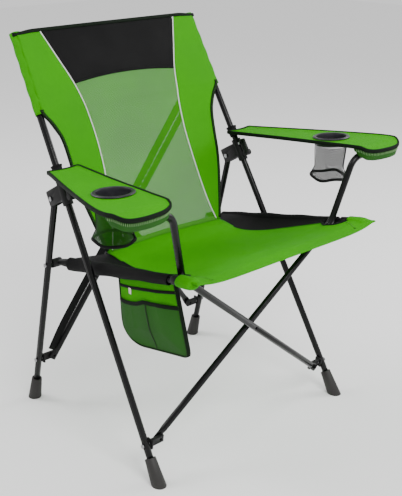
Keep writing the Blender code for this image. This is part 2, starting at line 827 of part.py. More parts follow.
def arm_edge(share):
    """Inner and outer x, y and z of an armrest; share runs from rear, 0, to front, 1."""
    inner = ARM_INNER_REAR + (ARM_INNER_FRONT - ARM_INNER_REAR) * share
    outer = ARM_OUTER_REAR + (ARM_OUTER_FRONT - ARM_OUTER_REAR) * min(1.0, share * 1.12)
    y = FRONT_FOOT_Y + ARM_REAR + (ARM_FRONT - ARM_REAR) * share
    z = ARM_HEIGHT + ARM_THICK / 2 + 0.004 - ARM_DROP - 0.002 * share + ARM_RISE * share
    return inner, outer, y, z


def cup_centre(side):
    share = (CUP_BACK - ARM_REAR) / (ARM_FRONT - ARM_REAR)
    return Vector((side * CUP_X, FRONT_FOOT_Y + CUP_BACK, arm_edge(share)[3]))


def arm_tilt():
    return atan2(ARM_RISE, ARM_REAR - ARM_FRONT)


def arm_normal():
    return Vector((0, sin(arm_tilt()), cos(arm_tilt())))


def make_arm(name, side):
    rows = []
    for index in range(9):
        inner, outer, y, z = arm_edge(index / 8)
        if index in (0, 8):
            inner += 0.008
            outer -= 0.012
        rows.append([Vector((side * (inner + (outer - inner) * across), y, z)) for across in (0, 0.33, 0.67, 1)])
    arm = strip("armrest_" + name, rows, "green", ARM_THICK)
    cup = cup_centre(side)
    normal = arm_normal()
    reach = normal * 0.03
    cup_hole = rod("arm_cup_hole_" + name, cup - reach, cup + reach, RING_BORE + 0.0024, "green", 28)
    cut(arm, cup_hole)
    return place(arm, collar_point(side))


def turned(name, centre, normal, outline, finish, steps=28):
    """A closed outline of radius and height pairs, turned about the normal."""
    bm = bmesh.new()
    verts = [bm.verts.new((x, 0, z)) for x, z in outline]
    edges = [bm.edges.new(pair) for pair in zip(verts, verts[1:] + verts[:1])]
    bmesh.ops.spin(
        bm, geom=verts + edges, cent=(0, 0, 0), axis=(0, 0, 1), angle=2 * pi, steps=steps, use_merge=True
    )
    bmesh.ops.remove_doubles(bm, verts=bm.verts, dist=0.00001)
    turn = Vector((0, 0, 1)).rotation_difference(normal).to_matrix().to_4x4()
    bmesh.ops.transform(bm, matrix=Matrix.Translation(centre) @ turn, verts=bm.verts)
    return place(object_from(bm, name, finish), centre)


def make_ring(name, side):
    """A flanged plastic ring: its lip lies on the armrest and its skirt lines the hole."""
    top = ARM_THICK / 2 + CLEAR
    outline = [
        (RING_BORE, -RING_HEIGHT), (RING_BORE + 0.0018, -RING_HEIGHT), (RING_BORE + 0.0018, top),
        (RING_R, top), (RING_R, top + 0.0014), (RING_R - 0.003, top + 0.0034), (RING_BORE, top + 0.0024),
    ]
    return turned("cup_ring_" + name, cup_centre(side), arm_normal(), outline, "plastic")


def make_pouch(name, side, finish):
    """A soft cup that hangs below the ring, open at the top."""
    top = -RING_HEIGHT - CLEAR
    rim = RING_BORE + 0.0010
    low = rim * POUCH_TAPER
    outline_out = [(rim, top), (rim * 0.97, top - POUCH_DEPTH * 0.45), (low, top - POUCH_DEPTH + 0.004),
                   (low - 0.005, top - POUCH_DEPTH)]
    bm = bmesh.new()
    outline = [(0.0, top - POUCH_DEPTH)] + outline_out[::-1]
    inner = [(rim - POUCH_WALL, top), (rim * 0.97 - POUCH_WALL, top - POUCH_DEPTH * 0.45),
             (low - POUCH_WALL, top - POUCH_DEPTH + 0.005), (0.0, top - POUCH_DEPTH + POUCH_WALL)]
    verts = [bm.verts.new((x, 0, z)) for x, z in outline + inner]
    edges = [bm.edges.new(pair) for pair in zip(verts, verts[1:])]
    bmesh.ops.spin(
        bm, geom=verts + edges, cent=(0, 0, 0), axis=(0, 0, 1), angle=2 * pi, steps=24, use_merge=True
    )
    bmesh.ops.remove_doubles(bm, verts=bm.verts, dist=0.00001)
    turn = Vector((0, 0, 1)).rotation_difference(arm_normal()).to_matrix().to_4x4()
    bmesh.ops.transform(bm, matrix=Matrix.Translation(cup_centre(side)) @ turn, verts=bm.verts)
    return place(object_from(bm, "cup_pouch_" + name, finish), cup_centre(side))


def make_collar(name, side):
    """The webbing loop that holds an armrest to its post, just above the hub."""
    up = long_along(side)
    top = long_axis(side, ARM_HEIGHT + 0.004)
    loop = rod("arm_loop_" + name, top - up * COLLAR_LENGTH, top, TUBE_R + RUN + COLLAR_WALL, "web", 18)
    bore = rod("loop_bore_" + name, top - up * 0.08, top + up * 0.04, TUBE_R + RUN, "web", 18)
    cut(loop, bore)
    return place(loop, top)


def make_pocket():
    """The flat organiser pocket that hangs from the left seat rail, open along its top."""
    side = -1
    along = rail_along(side)
    corner = rail_corner(side)

    def under(y, drop):
        point = corner + along * ((y - corner.y) / along.y)
        return Vector((POCKET_X, y, point.z - RAIL_R - 0.004 - drop))

    front = FRONT_FOOT_Y + POCKET_FRONT
    rear = FRONT_FOOT_Y + POCKET_REAR
    outline = [under(front, 0), under(rear, 0)]
    centre_y = rear - POCKET_CORNER
    for step in range(5):
        turn = step / 4 * pi / 2
        y = centre_y + POCKET_CORNER * cos(turn)
        outline.append(under(y, POCKET_DROP - POCKET_CORNER * (1 - sin(turn))))
    outline.append(under(front + 0.012, POCKET_DROP))
    outline.append(under(front, POCKET_DROP - 0.012))
    shell = extruded("side_pocket", outline, POCKET_THICK, "dark_green")
    inner = []
    middle = sum(outline, Vector()) / len(outline)
    for index, point in enumerate(outline):
        toward = (middle - point).normalized() * POCKET_WALL * 1.6
        inner.append(point + toward if index > 1 else point + Vector((0, toward.y, 0.02)))
    room = extruded("pocket_room", inner, POCKET_THICK - 2 * POCKET_WALL, "dark_green")
    cut(shell, room)
    return place(shell, outline[0])


def extruded(name, outline, thickness, finish):
    """A flat outline in a plane of constant x, pushed out to both sides."""
    bm = bmesh.new()
    face = bm.faces.new([bm.verts.new(point - Vector((thickness / 2, 0, 0))) for point in outline])
    grown = bmesh.ops.extrude_face_region(bm, geom=[face])
    moved = [item for item in grown["geom"] if isinstance(item, bmesh.types.BMVert)]
    bmesh.ops.translate(bm, vec=(thickness, 0, 0), verts=moved)
    return object_from(bm, name, finish)


def make_zip_pull():
    side = -1
    along = rail_along(side)
    corner = rail_corner(side)
    y = FRONT_FOOT_Y + POCKET_REAR - 0.050
    point = corner + along * ((y - corner.y) / along.y)
    centre = Vector((POCKET_X - POCKET_THICK / 2 - 0.0022, y, point.z - RAIL_R - 0.030))
    pull = slab("zip_pull", ((1, 0, 0), (0, 1, 0), (0, 0, 1)), centre, (-0.0012, -0.0045, -0.013),
                (0.0012, 0.0045, 0.002), "rivet", 0.0008)
    return place(pull, centre)


def make_strap():
    """A flat webbing strap that runs beside the rear cross tube to the right post."""
    lean = rear_lean()
    out = plane_out(lean)
    low = rear_pivot(-1)
    high = upper_pivot(1)
    toward = (high - low).normalized()
    across = out.cross(toward).normalized()
    if across.z < 0:
        across = -across
    start = low + toward * 0.045 + out * CROSS_OFFSET
    end = high - toward * 0.045 + out * CROSS_OFFSET
    near = TUBE_R + 0.002
    rows = []
    for share in (0.0, 0.5, 1.0):
        point = start + (end - start) * share
        gap = near + 0.004 * share
        rows.append([point + across * gap, point + across * (gap + STRAP_WIDTH)])
    return place(strip("carry_strap", rows, "web", STRAP_THICK), low)


def stand_on_origin():
    """Moves everything so that the lowest points stand at z 0, in the middle of the width and the depth."""
    graph = bpy.context.evaluated_depsgraph_get()
    low = Vector((1e9, 1e9, 1e9))
    high = -low
    for obj in bpy.context.scene.objects:
        if obj.hide_render:
            continue
        shape = obj.evaluated_get(graph)
        for corner in shape.bound_box:
            point = shape.matrix_world @ Vector(corner)
            low = Vector(map(min, low, point))
            high = Vector(map(max, high, point))
    shift = Matrix.Translation((-(low.x + high.x) / 2, -(low.y + high.y) / 2, -low.z))
    for obj in bpy.context.scene.objects:
        obj.matrix_world = shift @ obj.matrix_world


def main():
    clear_scene()
    for name, side in SIDES:
        front = side < 0
        make_long_tube(name, side)
        make_rear_leg(name, side)
        make_foot(name, "front", side, long_axis, long_along(side))
        make_foot(name, "rear", side, rear_axis, rear_along(side))
        make_cap(name, side)
        make_hub(name, side)
        across = hub_axes(side)[0]
        make_pin("hub_pin_" + name, leg_pivot(side), across, CLEVIS_HALF + 0.0005)
        make_pin("lever_pin_" + name, lever_pin(side), across, 0.0089, radius=0.002, head=0.0035)
        make_lever(name, side)
        front_carrier = long_axis(side, CROSS_PIVOT_Z)
        make_bracket("front_bracket_" + name, front_pivot(side), side, CROSS_LEAN, front_carrier)
        make_bolt("front_bolt_" + name, long_axis(side, CROSS_PIVOT_Z), front_pivot(side), side)
        rear_carrier = rear_axis(side, REAR_PIVOT_Z)
        make_bracket("rear_bracket_" + name, rear_pivot(side), side, rear_lean(), rear_carrier)
        make_bolt("rear_bolt_" + name, rear_axis(side, REAR_PIVOT_Z), rear_pivot(side), side)
        make_front_cross(name, side, front)
        make_rear_cross(name, side, not front)
        make_rail(name, side)
        make_connector(name, side)
        make_rail_pin(name, side)
        make_stop(name, side)
        make_arm(name, side)
        make_ring(name, side)
        make_pouch(name, side, "dark_green" if side < 0 else "grey_mesh")
        make_collar(name, side)
    make_back()
    make_seat()
    make_pocket()
    make_zip_pull()
    make_strap()
    stand_on_origin()


main()
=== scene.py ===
import json
from math import atan2, cos, pi, radians, sin, sqrt

import bmesh
import bpy
from mathutils import Matrix, Vector


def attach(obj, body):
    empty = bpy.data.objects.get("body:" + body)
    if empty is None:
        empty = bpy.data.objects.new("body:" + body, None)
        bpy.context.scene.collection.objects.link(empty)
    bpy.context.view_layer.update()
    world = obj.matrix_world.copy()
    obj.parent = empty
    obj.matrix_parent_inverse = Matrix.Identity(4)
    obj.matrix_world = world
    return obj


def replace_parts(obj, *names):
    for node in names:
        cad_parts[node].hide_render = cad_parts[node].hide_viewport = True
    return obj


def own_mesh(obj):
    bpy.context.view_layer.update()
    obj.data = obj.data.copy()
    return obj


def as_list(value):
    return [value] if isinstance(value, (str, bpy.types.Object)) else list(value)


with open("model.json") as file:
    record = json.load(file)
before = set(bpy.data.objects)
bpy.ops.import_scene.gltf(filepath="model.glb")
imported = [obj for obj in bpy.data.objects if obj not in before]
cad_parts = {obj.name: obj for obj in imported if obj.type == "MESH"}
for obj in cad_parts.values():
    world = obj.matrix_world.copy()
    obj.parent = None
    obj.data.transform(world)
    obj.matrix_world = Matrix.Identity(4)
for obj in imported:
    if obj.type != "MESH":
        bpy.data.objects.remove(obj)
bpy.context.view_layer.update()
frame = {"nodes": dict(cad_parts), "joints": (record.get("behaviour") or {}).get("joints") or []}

joints = {joint["name"]: joint for joint in frame["joints"]}
sides = (("left", -1), ("right", 1))
xAxis, zAxis = Vector((1, 0, 0)), Vector((0, 0, 1))
pieces = {}  # every new piece by name


# places on the frame

def jointPoint(name):
    return Vector(joints[name]["pos_m"])


def jointAxis(name):
    return Vector(joints[name]["axis"])


def onPost(side, z):  # on the axis of a long tube, at a height
    name = "left" if side < 0 else "right"
    start, up = jointPoint("hub_slide_" + name), -jointAxis("hub_slide_" + name)
    return start + up * ((z - start.z) / up.z)


postUp = -jointAxis("hub_slide_left")
postFront = Vector((0, -postUp.z, postUp.y)).normalized()
railAlong = jointAxis("zip_travel")  # from rear to front, on the left rail
railSlope = railAlong.z / railAlong.y
rail = {"cornerX": 0.2708, "cornerY": -0.2353, "z": 0.488, "taper": railAlong.x / railAlong.y}


def onRail(side, y):  # on a seat rail's axis
    away = y - rail["cornerY"]
    return Vector((side * (rail["cornerX"] - rail["taper"] * away), y, rail["z"] + railSlope * away))


# small geometry helpers

def mix(a, b, share):
    return a + (b - a) * share


def eased(share):
    share = max(0.0, min(1.0, share))
    return share * share * (3 - 2 * share)


def between(table, at):  # smooth value from a short list of (place, value) pairs
    if at <= table[0][0]:
        return table[0][1]
    if at >= table[-1][0]:
        return table[-1][1]
    i = max(k for k in range(len(table) - 1) if table[k][0] <= at)

    def slope(k):
        low, high = table[max(k - 1, 0)], table[min(k + 1, len(table) - 1)]
        return (high[1] - low[1]) / (high[0] - low[0])

    (a, low), (b, high) = table[i], table[i + 1]
    t, step = (at - a) / (b - a), b - a
    return (low * (1 + 2 * t) * (1 - t) ** 2 + slope(i) * step * t * (1 - t) ** 2
            + high * t * t * (3 - 2 * t) + slope(i + 1) * step * t * t * (t - 1))


def curvePoints(points, count, closed=False):  # evenly spread points on a smooth curve through a few
    points = [Vector(p) for p in points]
    fine, last = [], len(points) if closed else len(points) - 1
    for i in range(last):
        if closed:
            p = [points[(i + k) % len(points)] for k in (-1, 0, 1, 2)]
        else:
            p = [points[max(0, min(len(points) - 1, i + k))] for k in (-1, 0, 1, 2)]
        for step in range(12):
            t = step / 12
            fine.append(0.5 * (2 * p[1] + (p[2] - p[0]) * t + (2 * p[0] - 5 * p[1] + 4 * p[2] - p[3]) * t * t
                               + (3 * p[1] - p[0] - 3 * p[2] + p[3]) * t ** 3))
    fine.append(points[0].copy() if closed else points[-1].copy())
    reach = [0.0]
    for a, b in zip(fine, fine[1:]):
        reach.append(reach[-1] + (b - a).length)
    out, k = [], 0
    for i in range(count + 1):
        want = reach[-1] * i / count
        while k < len(fine) - 2 and reach[k + 1] < want:
            k += 1
        step = max(reach[k + 1] - reach[k], 1e-9)
        out.append(fine[k].lerp(fine[k + 1], (want - reach[k]) / step))
    return out


def pathLength(points):
    return sum((b - a).length for a, b in zip(points, points[1:]))


def tangentAt(points, i):
    return (points[min(i + 1, len(points) - 1)] - points[max(i - 1, 0)]).normalized()


# mesh makers

def finishMesh(bm, name, material, body, smooth=True):
    mesh = bpy.data.meshes.new(name)
    bm.to_mesh(mesh)
    bm.free()
    piece = bpy.data.objects.new(name, mesh)
    bpy.context.scene.collection.objects.link(piece)
    mesh.materials.append(material)
    if smooth:
        mesh.shade_smooth()
    pieces[name] = piece
    piece["rideOn"] = body
    return piece


def addLayer(piece, thick, offset=0.0):
    layer = piece.modifiers.new("layer", "SOLIDIFY")
    layer.thickness = thick
    layer.offset = offset
    layer.use_even_offset = False
    return piece


def addFine(piece, levels=1):
    fine = piece.modifiers.new("fine", "SUBSURF")
    fine.levels = levels
    fine.render_levels = levels
    return piece


def gridPiece(name, counts, place, size, material, body, around=False, caps=False, uvFrom=None):
    # a grid laid on a surface: place(u, v) gives a point, size is its cloth in metres for the weave
    bm = bmesh.new()
    bmesh.ops.create_grid(bm, x_segments=counts[0], y_segments=counts[1], size=0.5)
    layer = bm.loops.layers.uv.new("cloth")
    low = Vector((min(v.co.x for v in bm.verts), min(v.co.y for v in bm.verts)))
    high = Vector((max(v.co.x for v in bm.verts), max(v.co.y for v in bm.verts)))
    share = {v: ((v.co.x - low.x) / (high.x - low.x), (v.co.y - low.y) / (high.y - low.y)) for v in bm.verts}
    for v in bm.verts:
        v.co = place(*share[v])
    for face in bm.faces:
        for loop in face.loops:
            u, w = share[loop.vert]
            loop[layer].uv = uvFrom(loop.vert.co) if uvFrom else (u * size[0], w * size[1])
    if around:
        bmesh.ops.remove_doubles(bm, verts=bm.verts, dist=0.00001)
    if caps:
        rims = [edge for edge in bm.edges if edge.is_boundary]
        bmesh.ops.holes_fill(bm, edges=rims, sides=0)
    if around:
        bmesh.ops.recalc_face_normals(bm, faces=bm.faces)
    return finishMesh(bm, name, material, body)


def sweepPiece(name, path, half, normal, material, body, sidesOf=10, closed=False, square=1.0):
    # an oval section drawn along a path: half is its half width and half height, normal its upward side
    normals = normal if callable(normal) else (lambda i: Vector(normal))

    def place(u, v):
        i = round(v * (len(path) - 1))
        along = (path[1] - path[-2]).normalized() if closed and i in (0, len(path) - 1) else tangentAt(path,
                                                                                                       i)
        up = normals(i)
        up = (up - along * up.dot(along)).normalized()
        across = along.cross(up)
        turn = 2 * pi * u
        c, s = cos(turn), sin(turn)
        c, s = abs(c) ** square * (1 if c > 0 else -1), abs(s) ** square * (1 if s > 0 else -1)
        return path[i] + across * (half[0] * c) + up * (half[1] * s)

    size = (2 * pi * max(half), pathLength(path))
    return gridPiece(name, (sidesOf, len(path) - 1), place, size, material, body, around=True,
                     caps=not closed)


def stitchRow(name, path, normal, material, body, stitch, zigzag=0.0):
    # short raised stitches along a path; zigzag is their slant to each side
    normals = normal if callable(normal) else (lambda i: Vector(normal))
    count = max(2, round(pathLength(path) / stitch["pitch"]))
    spots = curvePoints(path, count)
    bm = bmesh.new()
    for i, spot in enumerate(spots[:-1]):
        along = tangentAt(spots, i)
        up = normals(round(i / count * (len(path) - 1)))
        up = (up - along * up.dot(along)).normalized()
        turn = Matrix.Rotation(zigzag * (1 if i % 2 else -1), 3, up)
        along = turn @ along
        across = up.cross(along)
        basis = Matrix((along, across, up)).transposed().to_4x4()
        scale = Matrix.Diagonal((stitch["length"], stitch["width"], stitch["width"] * 0.8, 1.0))
        bmesh.ops.create_icosphere(
            bm, subdivisions=1, radius=0.5, matrix=Matrix.Translation(spot + up * stitch.get("lift",
                                                                                             0.0)) @ basis @ scale)
    return finishMesh(bm, name, material, body)


# shader groups

def newGroup(name, inputs, outputs):
    group = bpy.data.node_groups.new(name, "ShaderNodeTree")
    for label, kind, value in inputs:
        socket = group.interface.new_socket(label, in_out="INPUT", socket_type=kind)
        if value is not None:
            socket.default_value = value
    for label, kind in outputs:
        group.interface.new_socket(label, in_out="OUTPUT", socket_type=kind)
    return group, group.nodes.new("NodeGroupInput"), group.nodes.new("NodeGroupOutput")


def mathNode(tree, operation, a, b=None, c=None):
    node = tree.nodes.new("ShaderNodeMath")
    node.operation = operation
    for index, value in enumerate((a, b, c)):
        if value is None:
            continue
        if isinstance(value, (int, float)):
            node.inputs[index].default_value = value
        else:
            tree.links.new(value, node.inputs[index])
    return node.outputs[0]


def noiseNode(tree, vector, scale, detail=3.0, rough=0.55):
    node = tree.nodes.new("ShaderNodeTexNoise")
    tree.links.new(vector, node.inputs["Vector"])
    node.inputs["Scale"].default_value = scale
    node.inputs["Detail"].default_value = detail
    node.inputs["Roughness"].default_value = rough
    return node.outputs["Fac"]


def mixColour(tree, factor, a, b, blend="MIX"):
    node = tree.nodes.new("ShaderNodeMix")
    node.data_type = "RGBA"
    node.blend_type = blend
    for index, value in ((0, factor), (6, a), (7, b)):
        if isinstance(value, (int, float, tuple)):
            node.inputs[index].default_value = value
        else:
            tree.links.new(value, node.inputs[index])
    return node.outputs[2]


def mapRange(tree, value, low, high, outLow=0.0, outHigh=1.0):
    node = tree.nodes.new("ShaderNodeMapRange")
    tree.links.new(value, node.inputs["Value"])
    for label, number in (("From Min", low), ("From Max", high), ("To Min", outLow), ("To Max", outHigh)):
        node.inputs[label].default_value = number
    return node.outputs["Result"]


def makeWeaveGroup():  # crossed threads with the cloth's soft mottling
    group, start, end = newGroup("wovenThreads", [
        ("Cloth", "NodeSocketVector", None), ("Place", "NodeSocketVector", None), ("Pitch",
                                                                                   "NodeSocketFloat", 0.0012),
        ("Thread", "NodeSocketColor", (1, 1, 1, 1)), ("Gap", "NodeSocketColor", (0, 0, 0, 1)),
        ("Mottle", "NodeSocketFloat", 0.2)],
        [("Colour", "NodeSocketColor"), ("Height", "NodeSocketFloat"), ("Rough", "NodeSocketFloat")])
    split = group.nodes.new("ShaderNodeSeparateXYZ")
    group.links.new(start.outputs["Cloth"], split.inputs[0])
    across = mathNode(group, "DIVIDE", split.outputs[0], start.outputs["Pitch"])
    along = mathNode(group, "DIVIDE", split.outputs[1], start.outputs["Pitch"])
    wave = mathNode(group, "MULTIPLY", mathNode(group, "SINE", mathNode(group, "MULTIPLY", across, pi)),
                    mathNode(group, "SINE", mathNode(group, "MULTIPLY", along, pi)))
    warp = mathNode(group, "ABSOLUTE", mathNode(group, "SINE", mathNode(group, "MULTIPLY", across, pi)))
    weft = mathNode(group, "ABSOLUTE", mathNode(group, "SINE", mathNode(group, "MULTIPLY", along, pi)))
    over = mathNode(group, "GREATER_THAN", wave, 0.0)
    under = mathNode(group, "SUBTRACT", 1.0, over)
    thread = mathNode(group, "ADD", mathNode(group, "MULTIPLY", warp, over), mathNode(group, "MULTIPLY",
                                                                                      weft, under))
    patches = noiseNode(group, start.outputs["Place"], 9.0, 4.0)
    slubs = noiseNode(group, start.outputs["Place"], 160.0, 2.0)
    soft = mathNode(group, "MULTIPLY_ADD", mapRange(group, patches, 0.3, 0.7, -1.0, 1.0),
                    start.outputs["Mottle"], 1.0)
    soft = mathNode(group, "MULTIPLY", soft, mapRange(group, slubs, 0.25, 0.75, 0.94, 1.06))
    shade = mixColour(group, mapRange(group, thread, 0.1, 0.75), start.outputs["Gap"],
                      start.outputs["Thread"])
    grey = group.nodes.new("ShaderNodeCombineColor")
    for socket in grey.inputs:
        group.links.new(soft, socket)
    group.links.new(mixColour(group, 1.0, shade, grey.outputs[0], "MULTIPLY"), end.inputs["Colour"])
    group.links.new(thread, end.inputs["Height"])
    group.links.new(mapRange(group, patches, 0.3, 0.7, 0.62, 0.8), end.inputs["Rough"])
    return group


def makeNetGroup():  # slanted rows of small holes between knitted threads
    group, start, end = newGroup("knittedNet", [
        ("Cloth", "NodeSocketVector", None), ("Pitch", "NodeSocketFloat", 0.003), ("Open",
                                                                                   "NodeSocketFloat", 0.25)],
        [("Cover", "NodeSocketFloat"), ("Height", "NodeSocketFloat")])
    split = group.nodes.new("ShaderNodeSeparateXYZ")
    group.links.new(start.outputs["Cloth"], split.inputs[0])
    slant = mathNode(group, "MULTIPLY_ADD", split.outputs[1], 0.84, split.outputs[0])
    across = mathNode(group, "DIVIDE", slant, start.outputs["Pitch"])
    lean = mathNode(group, "MULTIPLY_ADD", split.outputs[0], -0.62, split.outputs[1])
    along = mathNode(group, "DIVIDE", lean, mathNode(group, "MULTIPLY", start.outputs["Pitch"], 0.8))
    wave = mathNode(group, "MULTIPLY", mathNode(group, "SINE", mathNode(group, "MULTIPLY", across, pi)),
                    mathNode(group, "SINE", mathNode(group, "MULTIPLY", along, pi)))
    deep = mathNode(group, "ABSOLUTE", wave)
    edge = mathNode(group, "SUBTRACT", deep, start.outputs["Open"])
    hole = mathNode(group, "MULTIPLY", mathNode(group, "ADD", edge, 0.04), 12.0)
    node = group.nodes.new("ShaderNodeClamp")
    group.links.new(hole, node.inputs["Value"])
    group.links.new(mathNode(group, "SUBTRACT", 1.0, node.outputs[0]), end.inputs["Cover"])
    group.links.new(mathNode(group, "SUBTRACT", 1.0, deep), end.inputs["Height"])
    return group


def makeGrainGroup():  # fine moulded or sprayed grain with scuffs and dust
    group, start, end = newGroup("grainAndScuffs", [
        ("Place", "NodeSocketVector", None), ("Base", "NodeSocketColor", (0, 0, 0, 1)),
        ("Worn", "NodeSocketColor", (0.1, 0.1, 0.1, 1)), ("Scuffs", "NodeSocketFloat", 0.3),
        ("RoughLow", "NodeSocketFloat", 0.3), ("RoughHigh", "NodeSocketFloat", 0.5), ("GrainSize",
                                                                                      "NodeSocketFloat", 900.0)],
        [("Colour", "NodeSocketColor"), ("Rough", "NodeSocketFloat"), ("Height", "NodeSocketFloat")])
    patches = noiseNode(group, start.outputs["Place"], 14.0, 5.0, 0.6)
    stretched = group.nodes.new("ShaderNodeMapping")
    stretched.inputs["Scale"].default_value = (1.0, 0.35, 0.18)
    group.links.new(start.outputs["Place"], stretched.inputs["Vector"])
    scratches = noiseNode(group, stretched.outputs[0], 420.0, 3.0, 0.7)
    grain = group.nodes.new("ShaderNodeTexNoise")
    group.links.new(start.outputs["Place"], grain.inputs["Vector"])
    group.links.new(start.outputs["GrainSize"], grain.inputs["Scale"])
    worn = mathNode(group, "MULTIPLY", mapRange(group, scratches, 0.58, 0.74), mapRange(group, patches,
                                                                                        0.45, 0.7))
    worn = mathNode(group, "MULTIPLY", worn, start.outputs["Scuffs"])
    group.links.new(mixColour(group, worn, start.outputs["Base"], start.outputs["Worn"]),
                    end.inputs["Colour"])
    spread = mathNode(group, "SUBTRACT", start.outputs["RoughHigh"], start.outputs["RoughLow"])
    rough = mathNode(group, "MULTIPLY_ADD", mapRange(group, patches, 0.3, 0.7), spread,
                     start.outputs["RoughLow"])
    group.links.new(mathNode(group, "MULTIPLY_ADD", worn, 0.3, rough), end.inputs["Rough"])
    group.links.new(grain.outputs["Fac"], end.inputs["Height"])
    return group


weaveGroup, netGroup, grainGroup = makeWeaveGroup(), makeNetGroup(), makeGrainGroup()
print("shader groups made")


# materials

def newMaterial(name):
    material = bpy.data.materials.new(name)
    material.use_nodes = True
    tree = material.node_tree
    shader = tree.nodes["Principled BSDF"]
    return material, tree, shader


def groupNode(tree, group, values):
    node = tree.nodes.new("ShaderNodeGroup")
    node.node_tree = group
    for label, value in values.items():
        if isinstance(value, (int, float, tuple)):
            node.inputs[label].default_value = value
        else:
            tree.links.new(value, node.inputs[label])
    return node


def bumpInto(tree, shader, height, distance, strength=0.6):
    bump = tree.nodes.new("ShaderNodeBump")
    bump.inputs["Distance"].default_value = distance
    bump.inputs["Strength"].default_value = strength
    tree.links.new(height, bump.inputs["Height"])
    tree.links.new(bump.outputs["Normal"], shader.inputs["Normal"])


def coordinates(tree, kind):
    if kind == "UV":
        node = tree.nodes.new("ShaderNodeUVMap")
        node.uv_map = "cloth"
        return node.outputs["UV"]
    return tree.nodes.new("ShaderNodeTexCoord").outputs["Object"]


def clothMaterial(name, look):
    material, tree, shader = newMaterial(name)
    weave = groupNode(tree, weaveGroup, {
        "Cloth": coordinates(tree, "UV"), "Place": coordinates(tree, "Object"), "Pitch": look["pitch"],
        "Thread": (*look["thread"], 1.0), "Gap": (*look["gap"], 1.0), "Mottle": look["mottle"]})
    tree.links.new(weave.outputs["Colour"], shader.inputs["Base Color"])
    tree.links.new(weave.outputs["Rough"], shader.inputs["Roughness"])
    shader.inputs["Sheen Weight"].default_value = look["sheen"]
    shader.inputs["Sheen Roughness"].default_value = 0.5
    shader.inputs["Specular IOR Level"].default_value = look.get("specular", 0.25)
    bumpInto(tree, shader, weave.outputs["Height"], look["pitch"] * 0.35)
    return material


def netMaterial(name, look):
    material, tree, shader = newMaterial(name)
    cloth = coordinates(tree, "UV")
    weave = groupNode(tree, weaveGroup, {
        "Cloth": cloth, "Place": coordinates(tree, "Object"), "Pitch": look["pitch"] * 0.4,
        "Thread": (*look["thread"], 1.0), "Gap": (*look["gap"], 1.0), "Mottle": 0.12})
    net = groupNode(tree, netGroup, {"Cloth": cloth, "Pitch": look["pitch"], "Open": look["open"]})
    tree.links.new(weave.outputs["Colour"], shader.inputs["Base Color"])
    tree.links.new(net.outputs["Cover"], shader.inputs["Alpha"])
    shader.inputs["Roughness"].default_value = 0.6
    shader.inputs["Specular IOR Level"].default_value = 0.1
    bumpInto(tree, shader, net.outputs["Height"], look["pitch"] * 0.3)
    return material


def hardMaterial(name, look):
    material, tree, shader = newMaterial(name)
    grain = groupNode(tree, grainGroup, {
        "Place": coordinates(tree, "Object"), "Base": (*look["base"], 1.0), "Worn": (*look["worn"], 1.0),
        "Scuffs": look["scuffs"], "RoughLow": look["rough"][0], "RoughHigh": look["rough"][1],
        "GrainSize": look["grain"]})
    tree.links.new(grain.outputs["Colour"], shader.inputs["Base Color"])
    tree.links.new(grain.outputs["Rough"], shader.inputs["Roughness"])
    shader.inputs["Metallic"].default_value = look.get("metal", 0.0)
    shader.inputs["Specular IOR Level"].default_value = look.get("specular", 0.4)
    bumpInto(tree, shader, grain.outputs["Height"], look["bump"], 0.5)
    return material


looks = {
    "greenCloth": {"thread": (0.040, 0.325, 0.0003), "gap": (0.020, 0.18, 0.0002), "pitch": 0.0011, "mottle": 0.05,
                   "sheen": 0.0, "specular": 0.08},
    "blackCloth": {"thread": (0.0042, 0.0042, 0.0045), "gap": (0.0015, 0.0015, 0.0016),
                   "pitch": 0.0012, "mottle": 0.2, "sheen": 0.0,
                   "specular": 0.12},
    "pocketCloth": {"thread": (0.010, 0.095, 0.0006), "gap": (0.004, 0.042, 0.0003),
                    "pitch": 0.0013, "mottle": 0.2, "sheen": 0.0},
    "seamCloth": {"thread": (0.040, 0.235, 0.002), "gap": (0.02, 0.12, 0.001),
                  "pitch": 0.0011, "mottle": 0.1, "sheen": 0.04},
    "bindingTape": {"thread": (0.003, 0.009, 0.003), "gap": (0.001, 0.002, 0.001),
                    "pitch": 0.0016, "mottle": 0.2, "sheen": 0.0,
                    "specular": 0.12},
    "webbing": {"thread": (0.0048, 0.0048, 0.0052), "gap": (0.0015, 0.0015, 0.0015),
                "pitch": 0.0022, "mottle": 0.15, "sheen": 0.0,
                "specular": 0.15},
    "pipingWhite": {"thread": (0.78, 0.80, 0.76), "gap": (0.5, 0.52, 0.48),
                    "pitch": 0.0014, "mottle": 0.05, "sheen": 0.05},
    "stitchDark": {"thread": (0.004, 0.006, 0.004), "gap": (0.002, 0.002, 0.002),
                   "pitch": 0.0008, "mottle": 0.1, "sheen": 0.05},
    "stitchGreen": {"thread": (0.10, 0.36, 0.03), "gap": (0.04, 0.18, 0.01),
                    "pitch": 0.0008, "mottle": 0.1, "sheen": 0.05},
    "stitchPale": {"thread": (0.42, 0.62, 0.34), "gap": (0.2, 0.35, 0.15),
                   "pitch": 0.0008, "mottle": 0.1, "sheen": 0.05},
}
nets = {
    "backNet": {"thread": (0.036, 0.250, 0.0006), "gap": (0.016, 0.12, 0.0003), "pitch": 0.0040, "open": 0.86},
    # the left pouch's net: the same dark net as pouchNet, but darker green, with the green back seen through it and the
    # armrest's shade painted into its colour
    "pouchNetPaintedGreenShade": {"thread": (0.008, 0.070, 0.001), "gap": (0.003, 0.03, 0.0005), "pitch": 0.0026, "open": 0.60},
    "pouchNet": {"thread": (0.014, 0.016, 0.015), "gap": (0.006, 0.007, 0.006), "pitch": 0.0026, "open": 0.42},
}
